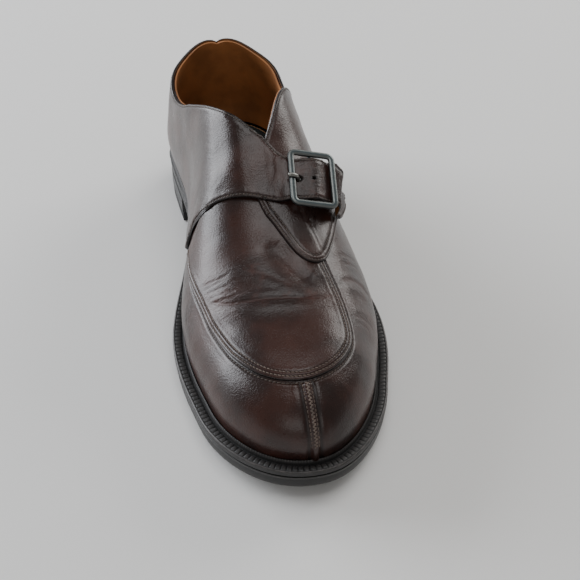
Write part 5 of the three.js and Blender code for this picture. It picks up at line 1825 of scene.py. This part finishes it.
class ShoeColours(bpy.types.PropertyGroup):
    """Colours of the shoe's finishes"""
    leather: colour_of("Leather", "Main colour of the leather", (0.041, 0.0145, 0.0100))
    leather_dark: colour_of("Burnished leather", "Darker patches of the leather", (0.018, 0.0075, 0.0060))
    leather_red: colour_of("Worn leather", "Leather where the polish has worn", (0.085, 0.026, 0.017))
    # Also painted shade in the seams' grooves, along the apron's edge and by the toe's fold, besides the
    # edges' black paint
    seam: colour_of("Seam", "Leather down in the seams and at the edges", (0.004, 0.003, 0.003))
    thread: colour_of("Thread", "Thread of the apron and the toe", (0.17, 0.125, 0.10))
    dark_thread: colour_of("Dark thread", "Thread of the quarters and the strap", (0.10, 0.072, 0.058))
    edge: colour_of("Edge", "Painted edges of the leather", (0.006, 0.005, 0.005))
    welt: colour_of("Welt", "Welt and edge of the sole", (0.012, 0.0115, 0.0115))
    rubber: colour_of("Rubber", "Top piece of the heel", (0.016, 0.016, 0.017))
    metal: colour_of("Metal", "Bars of the buckle", (0.055, 0.075, 0.082))
    lining: colour_of("Lining", "Leather inside the shoe", (0.40, 0.16, 0.05))
    insole: colour_of("Insole", "Leather under the foot", (0.52, 0.32, 0.17))
    sock: colour_of("Heel sock", "Pad under the heel", (0.02, 0.036, 0.038))
    floor: colour_of("Floor", "Studio floor", (0.86, 0.86, 0.85))


FINISHES = {}


def finishes_of(context):
    if not FINISHES:
        FINISHES["shoe"] = Finishes(context.scene.shoe_colours, context.scene.shoe_sizes)
    return FINISHES["shoe"]


class ShoeStep:
    """What the shoe's operators share: each runs its makers"""
    makers = ()

    def execute(self, context):
        for make in self.makers:
            make(finishes_of(context), context.scene.shoe_sizes)
        return {"FINISHED"}


class SHOE_OT_vamp(ShoeStep, bpy.types.Operator):
    """Lay the vamp and the apron on the last"""
    bl_idname = "shoe.vamp"
    bl_label = "Vamp and apron"
    makers = (make_upper, make_apron)


class SHOE_OT_quarters(ShoeStep, bpy.types.Operator):
    """Lay the two quarters and the strap"""
    bl_idname = "shoe.quarters"
    bl_label = "Quarters and strap"
    makers = (make_lateral_quarter, make_medial_quarter)


class SHOE_OT_stitches(ShoeStep, bpy.types.Operator):
    """Sew every row of stitches"""
    bl_idname = "shoe.stitches"
    bl_label = "Stitches"
    makers = (make_stitches,)


class SHOE_OT_welt(ShoeStep, bpy.types.Operator):
    """Run the welt round the sole"""
    bl_idname = "shoe.welt"
    bl_label = "Welt"
    makers = (make_welt,)


class SHOE_OT_sole(ShoeStep, bpy.types.Operator):
    """Make the outsole and the heel"""
    bl_idname = "shoe.sole"
    bl_label = "Sole and heel"
    makers = (make_outsole, make_heel)


class SHOE_OT_inside(ShoeStep, bpy.types.Operator):
    """Make the insole and the heel sock"""
    bl_idname = "shoe.inside"
    bl_label = "Inside"
    makers = (make_inside,)


class SHOE_OT_buckle(ShoeStep, bpy.types.Operator):
    """Make the buckle and its prong, and finish its loop"""
    bl_idname = "shoe.buckle"
    bl_label = "Buckle"
    makers = (make_buckle,)


class SHOE_OT_stage(ShoeStep, bpy.types.Operator):
    """Set the floor, the lights and the camera"""
    bl_idname = "shoe.stage"
    bl_label = "Stage"
    makers = (make_stage,)


OPERATORS = (SHOE_OT_vamp, SHOE_OT_quarters, SHOE_OT_stitches, SHOE_OT_welt, SHOE_OT_sole,
             SHOE_OT_inside, SHOE_OT_buckle, SHOE_OT_stage)


class SHOE_PT_panel(bpy.types.Panel):
    """Lists the shoe's steps, sizes and colours"""
    bl_idname = "SHOE_PT_panel"
    bl_label = "Monk strap shoe"
    bl_space_type = "VIEW_3D"
    bl_region_type = "UI"
    bl_category = "Shoe"

    def draw(self, context):
        for operator in OPERATORS:
            self.layout.operator(operator.bl_idname)
        for group in (context.scene.shoe_sizes, context.scene.shoe_colours):
            box = self.layout.box()
            for key in group.__annotations__:
                box.prop(group, key)


CLASSES = (ShoeSizes, ShoeColours, *OPERATORS, SHOE_PT_panel)


def register():
    for each in CLASSES:
        bpy.utils.register_class(each)
    bpy.types.Scene.shoe_sizes = bpy.props.PointerProperty(type=ShoeSizes)
    bpy.types.Scene.shoe_colours = bpy.props.PointerProperty(type=ShoeColours)


def unregister():
    del bpy.types.Scene.shoe_sizes
    del bpy.types.Scene.shoe_colours
    for each in reversed(CLASSES):
        bpy.utils.unregister_class(each)


def main():
    register()
    for operator in OPERATORS:
        group, name = operator.bl_idname.split(".")
        getattr(getattr(bpy.ops, group), name)()


if __name__ == "__main__":
    main()
